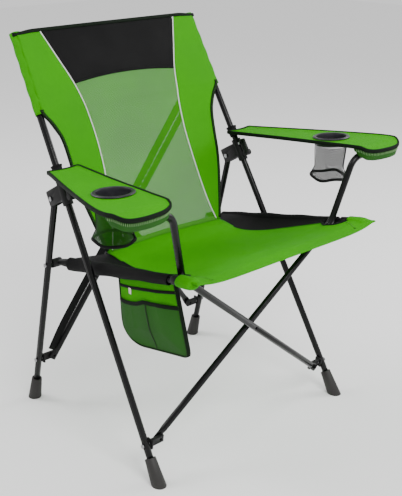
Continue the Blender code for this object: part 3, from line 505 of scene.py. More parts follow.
hardLooks = {
    "tubeCoat": {"base": (0.0028, 0.0028, 0.0031), "worn": (0.04, 0.04, 0.042), "scuffs": 0.3, "rough": (0.20, 0.30),
                 "grain": 1500.0, "bump": 0.0001, "specular": 0.2},
    "mouldedBlack": {"base": (0.0038, 0.0038, 0.0042), "worn": (0.04, 0.04, 0.04), "scuffs": 0.35,
                     "specular": 0.25, "rough": (0.42, 0.6),
                     "grain": 1100.0, "bump": 0.0002},
    "footRubber": {"base": (0.018, 0.0165, 0.0155), "worn": (0.075, 0.068, 0.060), "scuffs": 0.8, "rough": (0.5, 0.72),
                   "grain": 700.0, "bump": 0.0003},
    "ringPlastic": {"base": (0.0125, 0.0115, 0.0165), "worn": (0.06, 0.06, 0.07), "scuffs": 0.3, "rough": (0.3, 0.45),
                    "grain": 1300.0, "bump": 0.00012},
    "rivetSteel": {"base": (0.30, 0.30, 0.31), "worn": (0.55, 0.55, 0.55), "scuffs": 0.6, "rough": (0.28, 0.45),
                   "grain": 1400.0, "bump": 0.0001, "metal": 1.0},
    "zipMetal": {"base": (0.62, 0.53, 0.52), "worn": (0.75, 0.72, 0.70), "scuffs": 0.7, "rough": (0.24, 0.4),
                 "grain": 1400.0, "bump": 0.0001, "metal": 1.0},
}
cloths = {name: clothMaterial(name, look) for name, look in looks.items()}
cloths.update({name: netMaterial(name, look) for name, look in nets.items()})
hards = {name: hardMaterial(name, look) for name, look in hardLooks.items()}
print("materials made:", len(cloths) + len(hards))


# hard CAD nodes

def finishFor(node):
    if "foot" in node:
        return "footRubber"
    if node.startswith("cup_ring"):
        return "ringPlastic"
    if node == "zip_pull":
        return "zipMetal"
    if node.endswith(("pin_left", "pin_right", "bolt_left", "bolt_right")):
        return "rivetSteel"
    if node.startswith(("front_leg", "rear_leg", "front_cross", "rear_cross", "seat_rail")):
        return "tubeCoat"
    return "mouldedBlack"


def finishFrame():
    for name, node in frame["nodes"].items():
        node.data.materials.clear()
        node.data.materials.append(hards[finishFor(name)])
        node.data.shade_smooth()
        weld = node.modifiers.new("weld", "WELD")
        weld.merge_threshold = 0.00002
        soften = node.modifiers.new("soften", "BEVEL")
        soften.width = 0.0005
        soften.segments = 2
        soften.limit_method = "ANGLE"
        soften.angle_limit = radians(40)
        soften.harden_normals = True


# the back

back = {
    "lift": 0.0116,      # cloth in front of a post's axis
    "topZ": 0.9275,      # on the post's axis
    "freeZ": 0.765,      # below it the cloth leaves the posts
    "lowY": 0.0890, "lowZ": 0.4340,
    "bowUp": 0.006,
    "headZ": 0.8115, "headArch": 0.0095, "cloth": 0.0016,
    # distances from the middle by height: the piping, the free side edge, and how far the cloth sinks back
    "seam": ((0.430, 0.173), (0.470, 0.160), (0.520, 0.150), (0.590, 0.141), (0.650, 0.137), (0.700, 0.138),
             (0.755, 0.144), (0.812, 0.157), (0.870, 0.180), (0.934, 0.206)),
    "free": ((0.430, 0.183), (0.465, 0.194), (0.510, 0.2065), (0.560, 0.2195), (0.600, 0.227), (0.645, 0.2305),
             (0.685, 0.2345), (0.706, 0.239), (0.722, 0.2460), (0.739, 0.2555), (0.755, 0.2680), (0.765,
                                                                                                  0.2745)),
    "sink": ((0.430, 0.0), (0.590, 0.004), (0.675, 0.012), (0.755, 0.018), (0.812, 0.014), (0.873, 0.009), (0.940, 0.003)),
}


def backEdgeHalf(z):  # half the back's width: round the posts above, free below
    return onPost(1, z - 0.0057).x if z >= back["freeZ"] else between(back["free"], z)


def backPoint(x, z):  # on the back's cloth, at a height along its sides
    if z >= back["freeZ"]:
        y = (onPost(1, z - 0.0057) + postFront * back["lift"]).y
        share = 0.0
    else:
        top = onPost(1, back["freeZ"] - 0.0057) + postFront * back["lift"]
        share = (back["freeZ"] - z) / (back["freeZ"] - back["lowZ"])
        y = mix(top.y, back["lowY"], share)
    middle = max(0.0, 1 - (x / backEdgeHalf(z)) ** 2)
    y += between(back["sink"], z) * middle
    return Vector((x, y, z + back["bowUp"] * max(0.0, share) ** 3 * middle))


def seamHalf(z):
    return between(back["seam"], z)


def backSheet(name, left, right, low, high, material, counts=(14, 30)):
    # a panel of the back between two side limits and two heights, all functions of where on the panel
    def place(u, v):
        roughX = mix(left(0.5), right(0.5), u)
        z = mix(low(roughX), high(roughX), v)
        x = mix(left(z), right(z), u)
        return backPoint(x, mix(low(x), high(x), v))

    def flat(co):
        return (co.x, co.z * 1.06)

    return gridPiece(name, counts, place, (1, 1), material, "frame_left", uvFrom=flat)


def headLow(x):
    return back["headZ"] + back["headArch"] * max(0.0, 1 - (x / 0.16) ** 2)


def topOf(x):
    return back["topZ"] + 0.0057


def lowOf(x):
    return back["lowZ"]


def makeBack():
    made = []
    head = backSheet("head_panel", lambda z: -seamHalf(z), seamHalf, headLow, topOf, cloths["blackCloth"],
                     (16, 10))
    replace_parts(addFine(addLayer(head, back["cloth"])), "back_head")
    net = backSheet("mesh_panel", lambda z: -seamHalf(z), seamHalf, lowOf, lambda x: headLow(x) + 0.002,
                    cloths["backNet"], (20, 40))
    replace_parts(addFine(net), "back_mesh")
    made += [head, net]
    for name, side in sides:
        panel = backSheet("back_panel_" + name, lambda z: side * seamHalf(z),
                          lambda z: side * backEdgeHalf(z),
                          lowOf, topOf,
                          cloths["greenCloth"], (12, 64))
        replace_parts(addLayer(panel, back["cloth"]), "back_side_" + name)
        made += [panel, makeSleeve(name, side), *makeBackEdges(name, side)]
    made += [makeTopBinding(), *makeHeadSeam(), makeRearSeam()]
    return made


sleeve = {"radius": 0.0098, "low": 0.758, "slack": 0.0016}


def makeSleeve(name, side):  # the cloth's tunnel round the upper part of a post
    lowAxis, highAxis = onPost(side, sleeve["low"]), onPost(side, back["topZ"] + 0.003)

    def place(u, v):
        centre = lowAxis.lerp(highAxis, v)
        turn = 2 * pi * u
        out, front = cos(turn) * side, sin(turn)
        reach = sleeve["radius"] + sleeve["slack"] * max(0.0, front) + 0.0006 * sin(9 * v * pi + 2 * turn)
        inward = 0.006 * max(0.0, -out * side) * (0.5 + 0.5 * front)
        return centre + xAxis * (out * reach - side * inward) + postFront * front * reach

    size = (2 * pi * sleeve["radius"], (highAxis - lowAxis).length)
    tunnel = gridPiece("post_sleeve_" + name, (24, 36), place, size, cloths["greenCloth"], "frame_" + name,
                      around=True)
    addLayer(tunnel, 0.0010)
    return tunnel


backEdging = {"half": 0.0048, "thick": 0.0021,
              "stitch": {"pitch": 0.0046, "length": 0.0058, "width": 0.0008, "lift": 0.0022}}


def makeBackEdges(name, side):
    points = []
    for step in range(60):
        z = mix(back["freeZ"] + 0.006, back["lowZ"] + 0.004, step / 59)
        points.append(backPoint(side * (backEdgeHalf(z) - 0.002), z))
    path = curvePoints(points, 70)
    facing = Vector((0, -0.93, 0.36))
    edge = sweepPiece("back_binding_" + name, path, (backEdging["half"], backEdging["thick"]), facing,
                      cloths["bindingTape"], "frame_left", 10, square=0.7)
    inner = [point - xAxis * side * 0.0005 for point in path]
    seam = stitchRow("back_binding_stitches_" + name, inner, facing, cloths["stitchGreen"], "frame_left",
                     backEdging["stitch"], radians(55))
    pipe = [backPoint(side * seamHalf(z), z) + postFront * 0.0006
            for z in [mix(topOf(0) - 0.001, back["lowZ"] + 0.002, step / 50) for step in range(51)]]
    piping = sweepPiece("piping_" + name, curvePoints(pipe, 90), (0.0016, 0.0016), facing,
                        cloths["pipingWhite"],
                        "frame_left", 8)
    return [edge, seam, piping]


def makeTopBinding():
    path, upward = [], postUp
    reach = onPost(1, back["topZ"]).x + sleeve["radius"]
    for step in range(61):
        x = mix(-reach, reach, step / 60)
        corner = eased((abs(x) - (reach - 0.055)) / 0.05)
        point = backPoint(x, topOf(0)) if abs(x) < 0.25 else onPost(1,
                                                                    back["topZ"]) + postFront * back["lift"]
        path.append(Vector((x, point.y, point.z + 0.0005 - 0.0045 * corner)))
    edge = sweepPiece("top_binding", path, (0.0030, 0.0046), upward, cloths["bindingTape"], "frame_left",
                      10, square=0.7)
    return edge


def makeHeadSeam():  # the head panel's turned lower edge and its line of stitches
    xs = [mix(-1, 1, step / 30) * (seamHalf(back["headZ"]) - 0.002) for step in range(31)]
    path = curvePoints([backPoint(x, headLow(x) + 0.001) + postFront * 0.0012 for x in xs], 60)
    fold = sweepPiece("head_hem", path, (0.0030, 0.0011), postFront, cloths["blackCloth"], "frame_left", 8)
    raised = [point + postUp * 0.004 for point in path]
    seam = stitchRow("head_stitches", raised, postFront, cloths["stitchDark"], "frame_left",
                     {"pitch": 0.0040, "length": 0.0028, "width": 0.0007, "lift": 0.0004})
    return [fold, seam]


def makeRearSeam():  # the doubled strip where the mesh meets the seat
    half = seamHalf(back["lowZ"])
    xs = [mix(-1, 1, step / 40) * half for step in range(41)]
    path = curvePoints([backPoint(x, back["lowZ"] + 0.004) for x in xs], 60)
    strip = sweepPiece("rear_seam", path, (0.0060, 0.0018), (0, -0.85, 0.5), cloths["seamCloth"],
                       "frame_left", 10,
                       square=0.7)
    return strip


# the seat

seat = {
    "lift": 0.0100, "rearY": 0.0890, "railRearY": 0.1400,
    "notchRear": -0.2040, "notchFront": -0.2700, "notchHalf": 0.2315,
    "tipHalf": 0.287, "tipY": -0.3260, "frontY": -0.3230, "cloth": 0.0018,
    # by place from front to rear: half the green's width, and how far the cloth hangs below the rails
    "green": ((-0.204, 0.2475), (-0.144, 0.233), (-0.103, 0.221), (-0.063, 0.206), (-0.013, 0.192), (0.035, 0.184),
              (0.089, 0.183)),
    "hang": ((-0.330, 0.013), (-0.270, 0.014), (-0.230, 0.016), (-0.190, 0.021), (-0.100, 0.027), (-0.010, 0.026),
             (0.045, 0.015), (0.089, 0.002), (0.145, 0.0)),
}


def seatShare(y):  # from the rear edge, 0, to the front edge, 1
    return (seat["rearY"] - y) / (seat["rearY"] - seat["tipY"])


def seatPoint(x, y):
    edge = abs(onRail(1, y).x) + 0.002
    share = max(0.0, min(1.0, seatShare(y)))
    hang = between(seat["hang"], y) * max(0.0, 1 - abs(x / edge) ** 7)
    hang += 0.006 * sin(pi * share) * max(0.0, 1 - (x / edge) ** 2)
    droop = 0.010 * eased((rail["cornerY"] - 0.050 - y) / 0.045)
    return Vector((x, y, onRail(1, y).z + seat["lift"] - hang - droop))


def sideInner(y):  # half width of the green, beside the black side panels
    if y <= seat["rearY"]:
        return between(seat["green"], y)
    share = (y - seat["rearY"]) / (seat["railRearY"] - seat["rearY"])
    return mix(seat["green"][-1][1], onRail(1, y).x - 0.012, share)


def greenHalf(share):  # the outline of the green panel: (half width, y at the side)
    stops = (0.0, 0.68, 0.74, 0.84, 0.90, 1.0)
    notch = seat["notchRear"]
    if share <= stops[1]:
        y = mix(seat["rearY"], notch, share / stops[1])
        return sideInner(y), y
    if share <= stops[2]:
        part = (share - stops[1]) / (stops[2] - stops[1])
        return mix(sideInner(notch), seat["notchHalf"], sin(pi / 2 * part)), mix(notch, notch - 0.018, part)
    if share <= stops[3]:
        part = (share - stops[2]) / (stops[3] - stops[2])
        y = mix(notch - 0.018, seat["notchFront"] + 0.018, part)
        return seat["notchHalf"] + 0.003 * part ** 2, y
    if share <= stops[4]:
        part = (share - stops[3]) / (stops[4] - stops[3])
        return (mix(seat["notchHalf"] + 0.003, seat["tipHalf"] - 0.010, part ** 1.3),
                mix(seat["notchFront"] + 0.018, seat["notchFront"], sin(pi / 2 * part)))
    part = (share - stops[4]) / (1 - stops[4])
    return mix(seat["tipHalf"] - 0.010, seat["tipHalf"], part), mix(seat["notchFront"], seat["tipY"], part)


def makeSeat():
    made = []

    def place(u, v):
        half, y = greenHalf(1 - v)
        x = half * (2 * u - 1)
        front = (seat["frontY"] - seat["tipY"]) * max(0.0, 1 - (x / seat["tipHalf"]) ** 2)
        y += front * eased((seatShare(y) - 0.5) / 0.5)
        spot = seatPoint(x, y)
        joined = 1 - eased(seatShare(y) / 0.16)
        rear = backPoint(min(1.0, 0.181 / max(abs(x), 0.001)) * x, back["lowZ"])
        return Vector((spot.x, spot.y + 0.004 * joined, mix(spot.z, rear.z - 0.0015, joined)))

    panel = gridPiece("seat_cloth", (36, 72), place, (1, 1), cloths["greenCloth"], "rail_left",
                      uvFrom=lambda co: (co.x, co.y))
    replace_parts(addLayer(panel, seat["cloth"]), "seat_panel")
    made.append(panel)
    for name, side in sides:
        made += makeSeatSide(name, side)
        made += makeFrontCorner(name, side)
    made.append(makeFrontHem(place))
    made += makeSeatSeams()
    return made


railSleeve = {"width": 0.0102, "height": 0.0122, "drop": 0.0028}


def makeSeatSide(name, side):
    rearY, frontY = seat["railRearY"], seat["notchRear"]

    def place(u, v):
        y = mix(frontY, rearY, v)
        x = mix(sideInner(y) - 0.004, onRail(1, y).x + 0.002, u)
        under = 0.0012 * eased((0.12 - u) / 0.12) if y < seat["rearY"] else 0.0
        return Vector((side * x, y, seatPoint(x, y).z - under))

    panel = gridPiece("seat_side_cloth_" + name, (10, 44), place, (1, 1), cloths["blackCloth"], "rail_left",
                      uvFrom=lambda co: (co.x, co.y))
    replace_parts(addLayer(panel, seat["cloth"]), "seat_side_" + name)

    def aroundRail(u, v):
        y = mix(frontY - 0.026, rearY + 0.008, v)
        axis = onRail(side, y)
        turn = 2 * pi * u
        slack = 1 + 0.07 * sin(7 * pi * v + turn) * eased(min(v, 1 - v) * 6)
        tall = railSleeve["height"] * slack * (0.86 + 0.34 * eased(v / 0.8))
        half = (railSleeve["width"] * (1 + 0.1 * eased((v - 0.85) / 0.15)), tall)
        hang = railSleeve["drop"] * (1 - sin(turn)) / 2
        return axis + Vector((side * half[0] * cos(turn), 0, half[1] * sin(turn) - hang))

    tunnel = gridPiece("rail_sleeve_" + name, (22, 60), aroundRail, (0.075, 0.365),
                      cloths["blackCloth"], "rail_" + name, around=True)
    addLayer(tunnel, 0.0012)
    return [panel, tunnel]


frontCorner = {"halfWidth": 0.0150, "halfHeight": 0.0122, "back": -0.2640, "front": -0.3160}


def makeFrontCorner(name, side):  # the pocket that takes the rail's tip, and the notch's binding
    def place(u, v):
        y = mix(frontCorner["back"], frontCorner["front"], v)
        axis = onRail(side, y)
        turn = 2 * pi * u
        closing = sqrt(max(0.0, 1 - max(0.0, (v - 0.72) / 0.28) ** 2)) if v > 0.72 else 1.0
        wide = frontCorner["halfWidth"] * (1 + 0.25 * sin(pi * min(v, 0.8))) * max(0.02, closing)
        tall = frontCorner["halfHeight"] * max(0.02, closing)
        return axis + Vector((side * wide * cos(turn), 0, tall * sin(turn) - 0.004 * v))

    pocket = gridPiece("corner_pocket_" + name, (22, 22), place, (0.085, 0.055), cloths["greenCloth"],
                       "rail_" + name,
                       around=True)
    addLayer(pocket, 0.0012)
    notch = []
    for share in (0.672, 0.70, 0.72, 0.74, 0.77, 0.80, 0.83, 0.86, 0.875, 0.89, 0.90):
        half, y = greenHalf(share)
        lift = seatPoint(half, y)
        notch.append(Vector((side * half, y, lift.z + 0.0004)))
    edge = sweepPiece("notch_binding_" + name, curvePoints(notch, 44), (0.0036, 0.0018), zAxis,
                      cloths["bindingTape"],
                      "rail_left", 10, square=0.7)
    seam = [Vector((side * half, y, seatPoint(half, y).z + 0.0010))
            for half, y in ((0.250, -0.2700), (0.243, -0.286), (0.235, -0.302), (0.231, -0.3170))]
    crease = sweepPiece("corner_seam_" + name, curvePoints(seam, 16), (0.0012, 0.0008), zAxis,
                        cloths["seamCloth"],
                        "rail_left", 8)
    tab = gridPiece("corner_tab_" + name, (6, 4),
                    lambda u, v: Vector((side * mix(0.2265, 0.2345, u), mix(-0.3125, -0.3215, v),
                                         seatPoint(0.231, -0.3150).z + 0.0012 * sin(pi * u) - 0.003 * v)),
                    (0.008, 0.009), cloths["bindingTape"], "rail_left")
    addLayer(tab, 0.0016)
    return [pocket, edge, crease, tab]


def makeFrontHem(place):  # the turned front edge of the seat
    path = curvePoints([place(step / 40, 0.0) for step in range(41)], 80)
    hem = sweepPiece("front_hem", path, (0.0040, 0.0017), zAxis, cloths["greenCloth"], "rail_left", 10,
                     square=0.75)
    return hem


def makeSeatSeams():  # lapped seams between the green and the black, each with a row of stitches
    made = []
    for name, side in sides:
        points = [seatPoint(sideInner(y) - 0.001, y)
                  for y in [mix(seat["notchRear"], seat["rearY"] - 0.002, step / 40) for step in range(41)]]
        path = curvePoints([Vector((side * p.x, p.y, p.z + 0.0011)) for p in points], 70)
        lap = sweepPiece("seat_lap_" + name, path, (0.0028, 0.0009), zAxis, cloths["blackCloth"],
                         "rail_left", 8)
        row = stitchRow("seat_stitches_" + name, [p - xAxis * side * 0.0042 for p in path], zAxis,
                        cloths["stitchGreen"],
                        "rail_left", {"pitch": 0.0042, "length": 0.0030, "width": 0.0007, "lift": 0.0002})
        made += [lap, row]
    return made


# armrests and cup holders

arm = {
    "rearZ": 0.6500, "frontZ": 0.6700, "cloth": 0.0052, "holeRadius": 0.0400, "curlY": -0.2580, "curl": 0.011,
}
cup = {"x": 0.3400, "y": -0.1417}


def armZ(y):  # its middle plane, curling down over the bar at the front
    level = mix(arm["frontZ"], arm["rearZ"], (y + 0.2619) / 0.3844)
    return level - arm["curl"] * eased((arm["curlY"] - y) / 0.034)


def armOutline(count=160):  # round the armrest, in the plane of x and y, on the +x side
    points = [
        (0.2390, 0.1180), (0.2620, 0.1130), (0.2900, 0.1130), (0.3170, 0.1200), (0.3215, 0.1130), (0.3300,
                                                                                                   0.0900),
        (0.3720, -0.0200), (0.4080, -0.1200), (0.4310, -0.1900), (0.4400, -0.2300), (0.4385, -0.2580),
        (0.4230, -0.2820), (0.3900, -0.2930), (0.3520, -0.2920), (0.3180, -0.2830), (0.3010, -0.2660),
        (0.2910, -0.2000), (0.2680, -0.0500), (0.2430, 0.0850),
    ]
    return curvePoints([Vector((x, y, 0)) for x, y in points], count, closed=True)[:-1]


def rayToOutline(outline, centre, turn):
    direction = Vector((cos(turn), sin(turn), 0))
    best = None
    for a, b in zip(outline, outline[1:] + outline[:1]):
        edge = b - a
        cross = direction.x * edge.y - direction.y * edge.x
        if abs(cross) < 1e-12:
            continue
        gap = a - centre
        reach = (gap.x * edge.y - gap.y * edge.x) / cross
        share = (gap.x * direction.y - gap.y * direction.x) / cross
        if reach > 0 and -1e-9 <= share <= 1 + 1e-9:
            best = reach if best is None else max(best, reach)
    return centre + direction * best


def makeArmrest(name, side):
    outline = armOutline()
    centre = Vector((cup["x"], cup["y"], 0))
    rim = {}

    def place(u, v):
        if u not in rim:
            turn = armTurn(u)
            hole = centre + Vector((cos(turn), sin(turn), 0)) * arm["holeRadius"]
            rim[u] = (hole, rayToOutline(outline, centre, turn))
        inner, outer = rim[u]
        spot = inner.lerp(outer, v)
        sag = 0.0022 * sin(pi * v) * min(1.0, (outer - inner).length / 0.08)
        return Vector((side * spot.x, spot.y, armZ(spot.y) - sag))

    def armTurn(u):  # more spokes towards the long rear part
        return pi / 2 + 2 * pi * (u - 0.5) - 0.55 * sin(2 * pi * (u - 0.5))

    top = gridPiece("armrest_cloth_" + name, (120, 18), place, (1, 1), cloths["greenCloth"], "arm_" + name,
                    around=True, uvFrom=lambda co: (co.x, co.y))
    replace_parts(addLayer(top, arm["cloth"]), "armrest_" + name)
    path = [Vector((side * p.x, p.y, armZ(p.y))) for p in (*outline, outline[0])]
    edge = sweepPiece("armrest_binding_" + name, path, (0.0026, 0.0046), zAxis, cloths["bindingTape"],
                      "arm_" + name, 12,
                      closed=True, square=0.6)
    return [top, edge, *makeArmFlap(name, side, outline)]


armFlap = {"drop": 0.0190, "pitch": 0.0042}


def makeArmFlap(name, side, outline):  # the ribbed fold under the front edge
    stretch = [p for p in outline if p.y < -0.240]
    start = max(range(len(stretch)), key=lambda i: (stretch[i] - stretch[i - 1]).length)
    stretch = stretch[start:] + stretch[:start]
    path = curvePoints([Vector((side * p.x, p.y, armZ(p.y) - 0.0045)) for p in stretch], 64)

    def place(u, v):
        i = round(u * (len(path) - 1))
        along = tangentAt(path, i)
        out = along.cross(zAxis) * (1 if side > 0 else -1)
        out = out if out.dot(Vector((path[i].x, path[i].y, 0)) - Vector((side * cup["x"], cup["y"], 0))) > 0 else -out
        fade = eased(min(u, 1 - u) * 12)
        return path[i] - out * (0.0020 + 0.003 * v * v) - zAxis * armFlap["drop"] * v * (0.35 + 0.65 * fade)

    flap = gridPiece("armrest_flap_" + name, (63, 5), place, (pathLength(path), armFlap["drop"]),
                     cloths["pocketCloth"],
                     "arm_" + name)
    addLayer(flap, 0.0014)
    pathLength(path)
    bm = bmesh.new()
    count = round(pathLength(path) / armFlap["pitch"])
    spots = curvePoints(path, count)
    for i in range(2, count - 1):
        along = tangentAt(spots, i)
        out = along.cross(zAxis)
        out = out if out.dot(Vector((spots[i].x - side * cup["x"], spots[i].y - cup["y"], 0))) > 0 else -out
        basis = Matrix((along, out, zAxis)).transposed().to_4x4()
        scale = Matrix.Diagonal((0.0013, 0.0016, 0.0085, 1.0))
        bmesh.ops.create_icosphere(
            bm, subdivisions=1, radius=0.5, matrix=Matrix.Translation(spots[i] - out * 0.0008 - zAxis * 0.0042) @ basis @ scale)
    ribs = finishMesh(bm, "armrest_ribs_" + name, cloths["stitchPale"], "arm_" + name)
    return [flap, ribs]


pouch = {"top": 0.6480, "depth": 0.080, "topRadius": 0.0372, "waist": 0.0345, "baseRadius": 0.0440, "sag": 0.010}


def pouchRadius(down):  # narrow below the ring, wide at the base
    neck = mix(pouch["topRadius"], pouch["waist"], eased(down / 0.7))
    return neck + (pouch["baseRadius"] - pouch["waist"]) * eased((down - 0.72) / 0.28)


def makePouch(name, side):
    # the left pouch takes the net with the green back and the armrest's shade painted into its colour
    netLook = "pouchNetPaintedGreenShade" if side < 0 else "pouchNet"
    tilt = Matrix.Rotation(atan2(0.018, 0.384), 4, "X")
    centre = Vector((side * cup["x"], cup["y"], pouch["top"]))
    toPlace = Matrix.Translation(centre) @ tilt

    def wall(u, v):
        turn = 2 * pi * u
        down = 1 - v
        radius = pouchRadius(down)
        radius += 0.0012 * sin(5 * turn + 3 * down) * down
        return toPlace @ Vector((radius * cos(turn), radius * sin(turn), -pouch["depth"] * down))

    def baseRim(turn):
        wave = 0.0022 * sin(3 * turn + side) + 0.0012 * sin(5 * turn)
        return Vector((pouch["baseRadius"] * cos(turn), pouch["baseRadius"] * sin(turn),
                       -pouch["depth"] + wave))

    body = "arm_" + name
    net = gridPiece("cup_net_" + name, (48, 20), wall, (0.22, pouch["depth"]), cloths[netLook], body,
                    around=True)
    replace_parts(net, "cup_pouch_" + name)

    def base(u, v):
        turn = 2 * pi * u
        rim = baseRim(turn)
        return toPlace @ Vector((rim.x * v, rim.y * v, mix(-pouch["depth"] - pouch["sag"], rim.z, v ** 2.2)))

    floor = gridPiece("cup_floor_" + name, (48, 10), base, (0.22, 0.05), cloths[netLook], body, around=True,
                      uvFrom=lambda co: (co.x, co.y))
    rimPath = [toPlace @ baseRim(2 * pi * i / 48) for i in range(49)]
    tape = sweepPiece("cup_tape_" + name, rimPath, (0.0030, 0.0034), toPlace.to_3x3() @ zAxis,
                      cloths["webbing"], body, 10,
                      closed=True, square=0.7)
    made = [net, floor, tape]
    for index, turn in enumerate((radians(128), radians(-38))):
        outward = Vector((cos(turn), sin(turn), 0))
        points = []
        for down in (0.0, 0.25, 0.5, 0.72, 0.86, 1.0):
            radius = pouchRadius(down)
            points.append(toPlace @ (outward * (radius + 0.0014) - zAxis * pouch["depth"] * down))
        strap = sweepPiece(f"cup_strap_{name}_{index}", curvePoints(points, 24), (0.0060, 0.0009), outward,
                           cloths["webbing"],
                           body, 10, square=0.6)
        made.append(strap)
    return made


def makeArmLoop(name, side):  # webbing that ties the armrest to its post
    low = onPost(side, 0.6300)
    high = onPost(side, 0.6530)

    def place(u, v):
        centre = low.lerp(high, v)
        turn = 2 * pi * u
        radius = 0.0100 + 0.0011 * sin(pi * v) + 0.0004 * sin(3 * turn)
        flare = 0.0030 * eased((v - 0.7) / 0.3)
        return centre + xAxis * cos(turn) * (radius + flare) + postFront * sin(turn) * (radius + flare)

    loop = gridPiece("arm_tie_" + name, (26, 12), place, (0.063, 0.024), cloths["webbing"], "hub_" + name,
                     around=True)
    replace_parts(addLayer(loop, 0.0014), "arm_loop_" + name)
    return loop


# the side organiser

organiser = {
    "x": -0.2500, "frontY": -0.2240, "rearY": -0.0380, "under": 0.0130, "drop": 0.162, "corner": 0.060,
    "zipDrop": 0.034, "edgeDrop": 0.054, "bulge": 0.010, "cloth": 0.0014,
}


def organiserTop(y):
    return onRail(-1, y).z - organiser["under"]


def organiserLow(y):  # the bottom edge: a big round rear corner and a small front one
    rear, radius = organiser["rearY"], organiser["corner"]
    drop = organiser["drop"]
    gap = rear - y
    if gap < radius:
        drop -= radius - sqrt(max(0.0, radius ** 2 - (radius - gap) ** 2))
    gap = y - organiser["frontY"]
    if gap < 0.014:
        drop -= 0.014 - sqrt(max(0.0, 0.014 ** 2 - (0.014 - gap) ** 2))
    return organiserTop(y) - drop


def organiserPoint(y, z, out):  # out is how far the layer stands from the middle plane, outwards
    share = (organiserTop(y) - z) / organiser["drop"]
    edge = min(1.0, (y - organiser["frontY"]) / 0.05, (organiser["rearY"] - y) / 0.05,
               (z - organiserLow(y)) / 0.05 + 0.05)
    swell = organiser["bulge"] * max(0.0, edge) ** 0.6 * sin(pi * min(1.0, 0.15 + share * 0.8))
    forward = (organiser["rearY"] - y) / (organiser["rearY"] - organiser["frontY"])
    drift = -0.034 * share * forward - 0.006 * share  # it widens forwards towards its lower edge
    spread = out * (0.35 + 0.65 * max(0.0, edge)) + swell * (1 if out > 0 else -0.3)
    return Vector((organiser["x"] - spread + 0.004 * share, y + drift, z))


def organiserSheet(name, top, low, out, material, counts=(26, 20)):
    def place(u, v):
        y = mix(organiser["frontY"], organiser["rearY"], u)
        return organiserPoint(y, mix(low(y), top(y), v), out(y, v) if callable(out) else out)

    sheet = gridPiece(name, counts, place, (1, 1), material, "rail_left", uvFrom=lambda co: (co.y, co.z))
    return addLayer(sheet, organiser["cloth"])


def pocketEdge(y):  # the wavy upper edge of the outer pocket
    share = (y - organiser["frontY"]) / (organiser["rearY"] - organiser["frontY"])
    wave = 0.0035 * sin(2 * pi * share - 0.4) + 0.004 * max(0.0, 1 - abs(share - 0.5) / 0.12)
    return organiserTop(y) - organiser["edgeDrop"] + wave


def makeOrganiser():
    top = organiserSheet("organiser_back", lambda y: organiserTop(y) + 0.006, organiserLow, -0.003,
                         cloths["greenCloth"])
    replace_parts(top, "side_pocket")
    face = organiserSheet("organiser_face", lambda y: organiserTop(y) + 0.006,
                          lambda y: pocketEdge(y) - 0.02, 0.0035,
                          cloths["greenCloth"], (30, 10))
    ruffle = 0.0016
    pocket = organiserSheet(
        "organiser_pocket", pocketEdge, organiserLow,
        lambda y, v: 0.0060 + ruffle * sin(9 * y * 10) * v + 0.003 * v, cloths["pocketCloth"], (48, 28))
    made = [top, face, pocket]
    ys = [mix(organiser["frontY"], organiser["rearY"], step / 40) for step in range(41)]
    lip = curvePoints([organiserPoint(y, pocketEdge(y), 0.0092 + ruffle * sin(9 * y * 10)) for y in ys], 80)
    lipTape = sweepPiece("organiser_pocket_binding", lip, (0.0046, 0.0016), (-1, 0, 0.1),
                         cloths["bindingTape"], "rail_left",
                         10, square=0.7)
    zipLine = curvePoints([organiserPoint(y, organiserTop(y) - organiser["zipDrop"] + 0.012, 0.0052) for y in ys], 80)
    zipTape = sweepPiece("organiser_zip", zipLine, (0.0036, 0.0012), (-1, 0, 0), cloths["webbing"],
                         "rail_left", 10,
                         square=0.6)
    teeth = stitchRow("organiser_zip_teeth", zipLine, (-1, 0, 0), hards["mouldedBlack"], "rail_left",
                      {"pitch": 0.0022, "length": 0.0012, "width": 0.0030, "lift": 0.0010})
    made += [lipTape, zipTape, teeth]
    sideEdge = [organiserPoint(organiser["rearY"] - 0.001, organiserTop(organiser["rearY"]) + 0.004 - 0.11 * t, 0.0)
                for t in (0, 0.25, 0.5, 0.75, 0.95)]
    lowYs = [mix(organiser["rearY"] - 0.004, organiser["frontY"] + 0.002, t / 24) for t in range(25)]
    lowEdge = [organiserPoint(y, organiserLow(y) + 0.001, 0.0) for y in lowYs]
    frontLow = organiserLow(organiser["frontY"] + 0.012) + 0.012
    frontTop = organiserTop(organiser["frontY"]) + 0.004
    frontEdge = [organiserPoint(organiser["frontY"] + 0.001, mix(frontLow, frontTop, t / 5),
                                0.0) for t in range(1, 6)]
    rim = curvePoints(sideEdge + lowEdge + frontEdge, 130)
    rimTape = sweepPiece("organiser_rim", rim, (0.0032, 0.0052), (1, 0, 0), cloths["bindingTape"],
                         "rail_left", 10, square=0.7)
    stitches = stitchRow("organiser_rim_stitches", [p - xAxis * 0.0048 for p in rim], (-1, 0, 0),
                         cloths["stitchGreen"],
                         "rail_left", {"pitch": 0.0052, "length": 0.0026, "width": 0.0009, "lift": 0.0004}, radians(35))
    middle = mix(organiser["frontY"], organiser["rearY"], 0.46)
    seamTop, seamLow = pocketEdge(middle) - 0.004, organiserLow(middle) + 0.004
    seam = curvePoints([organiserPoint(middle, mix(seamTop, seamLow, t / 8), 0.0112 - 0.0004 * t) for t in range(9)], 40)
    seamLine = sweepPiece("organiser_centre_seam", seam, (0.0011, 0.0007), (-1, 0, 0), cloths["stitchDark"],
                          "rail_left", 8)
    return made + [rimTape, stitches, seamLine]


# the carry strap

strap = {"width": 0.0240, "thick": 0.0013, "offset": 0.0088}


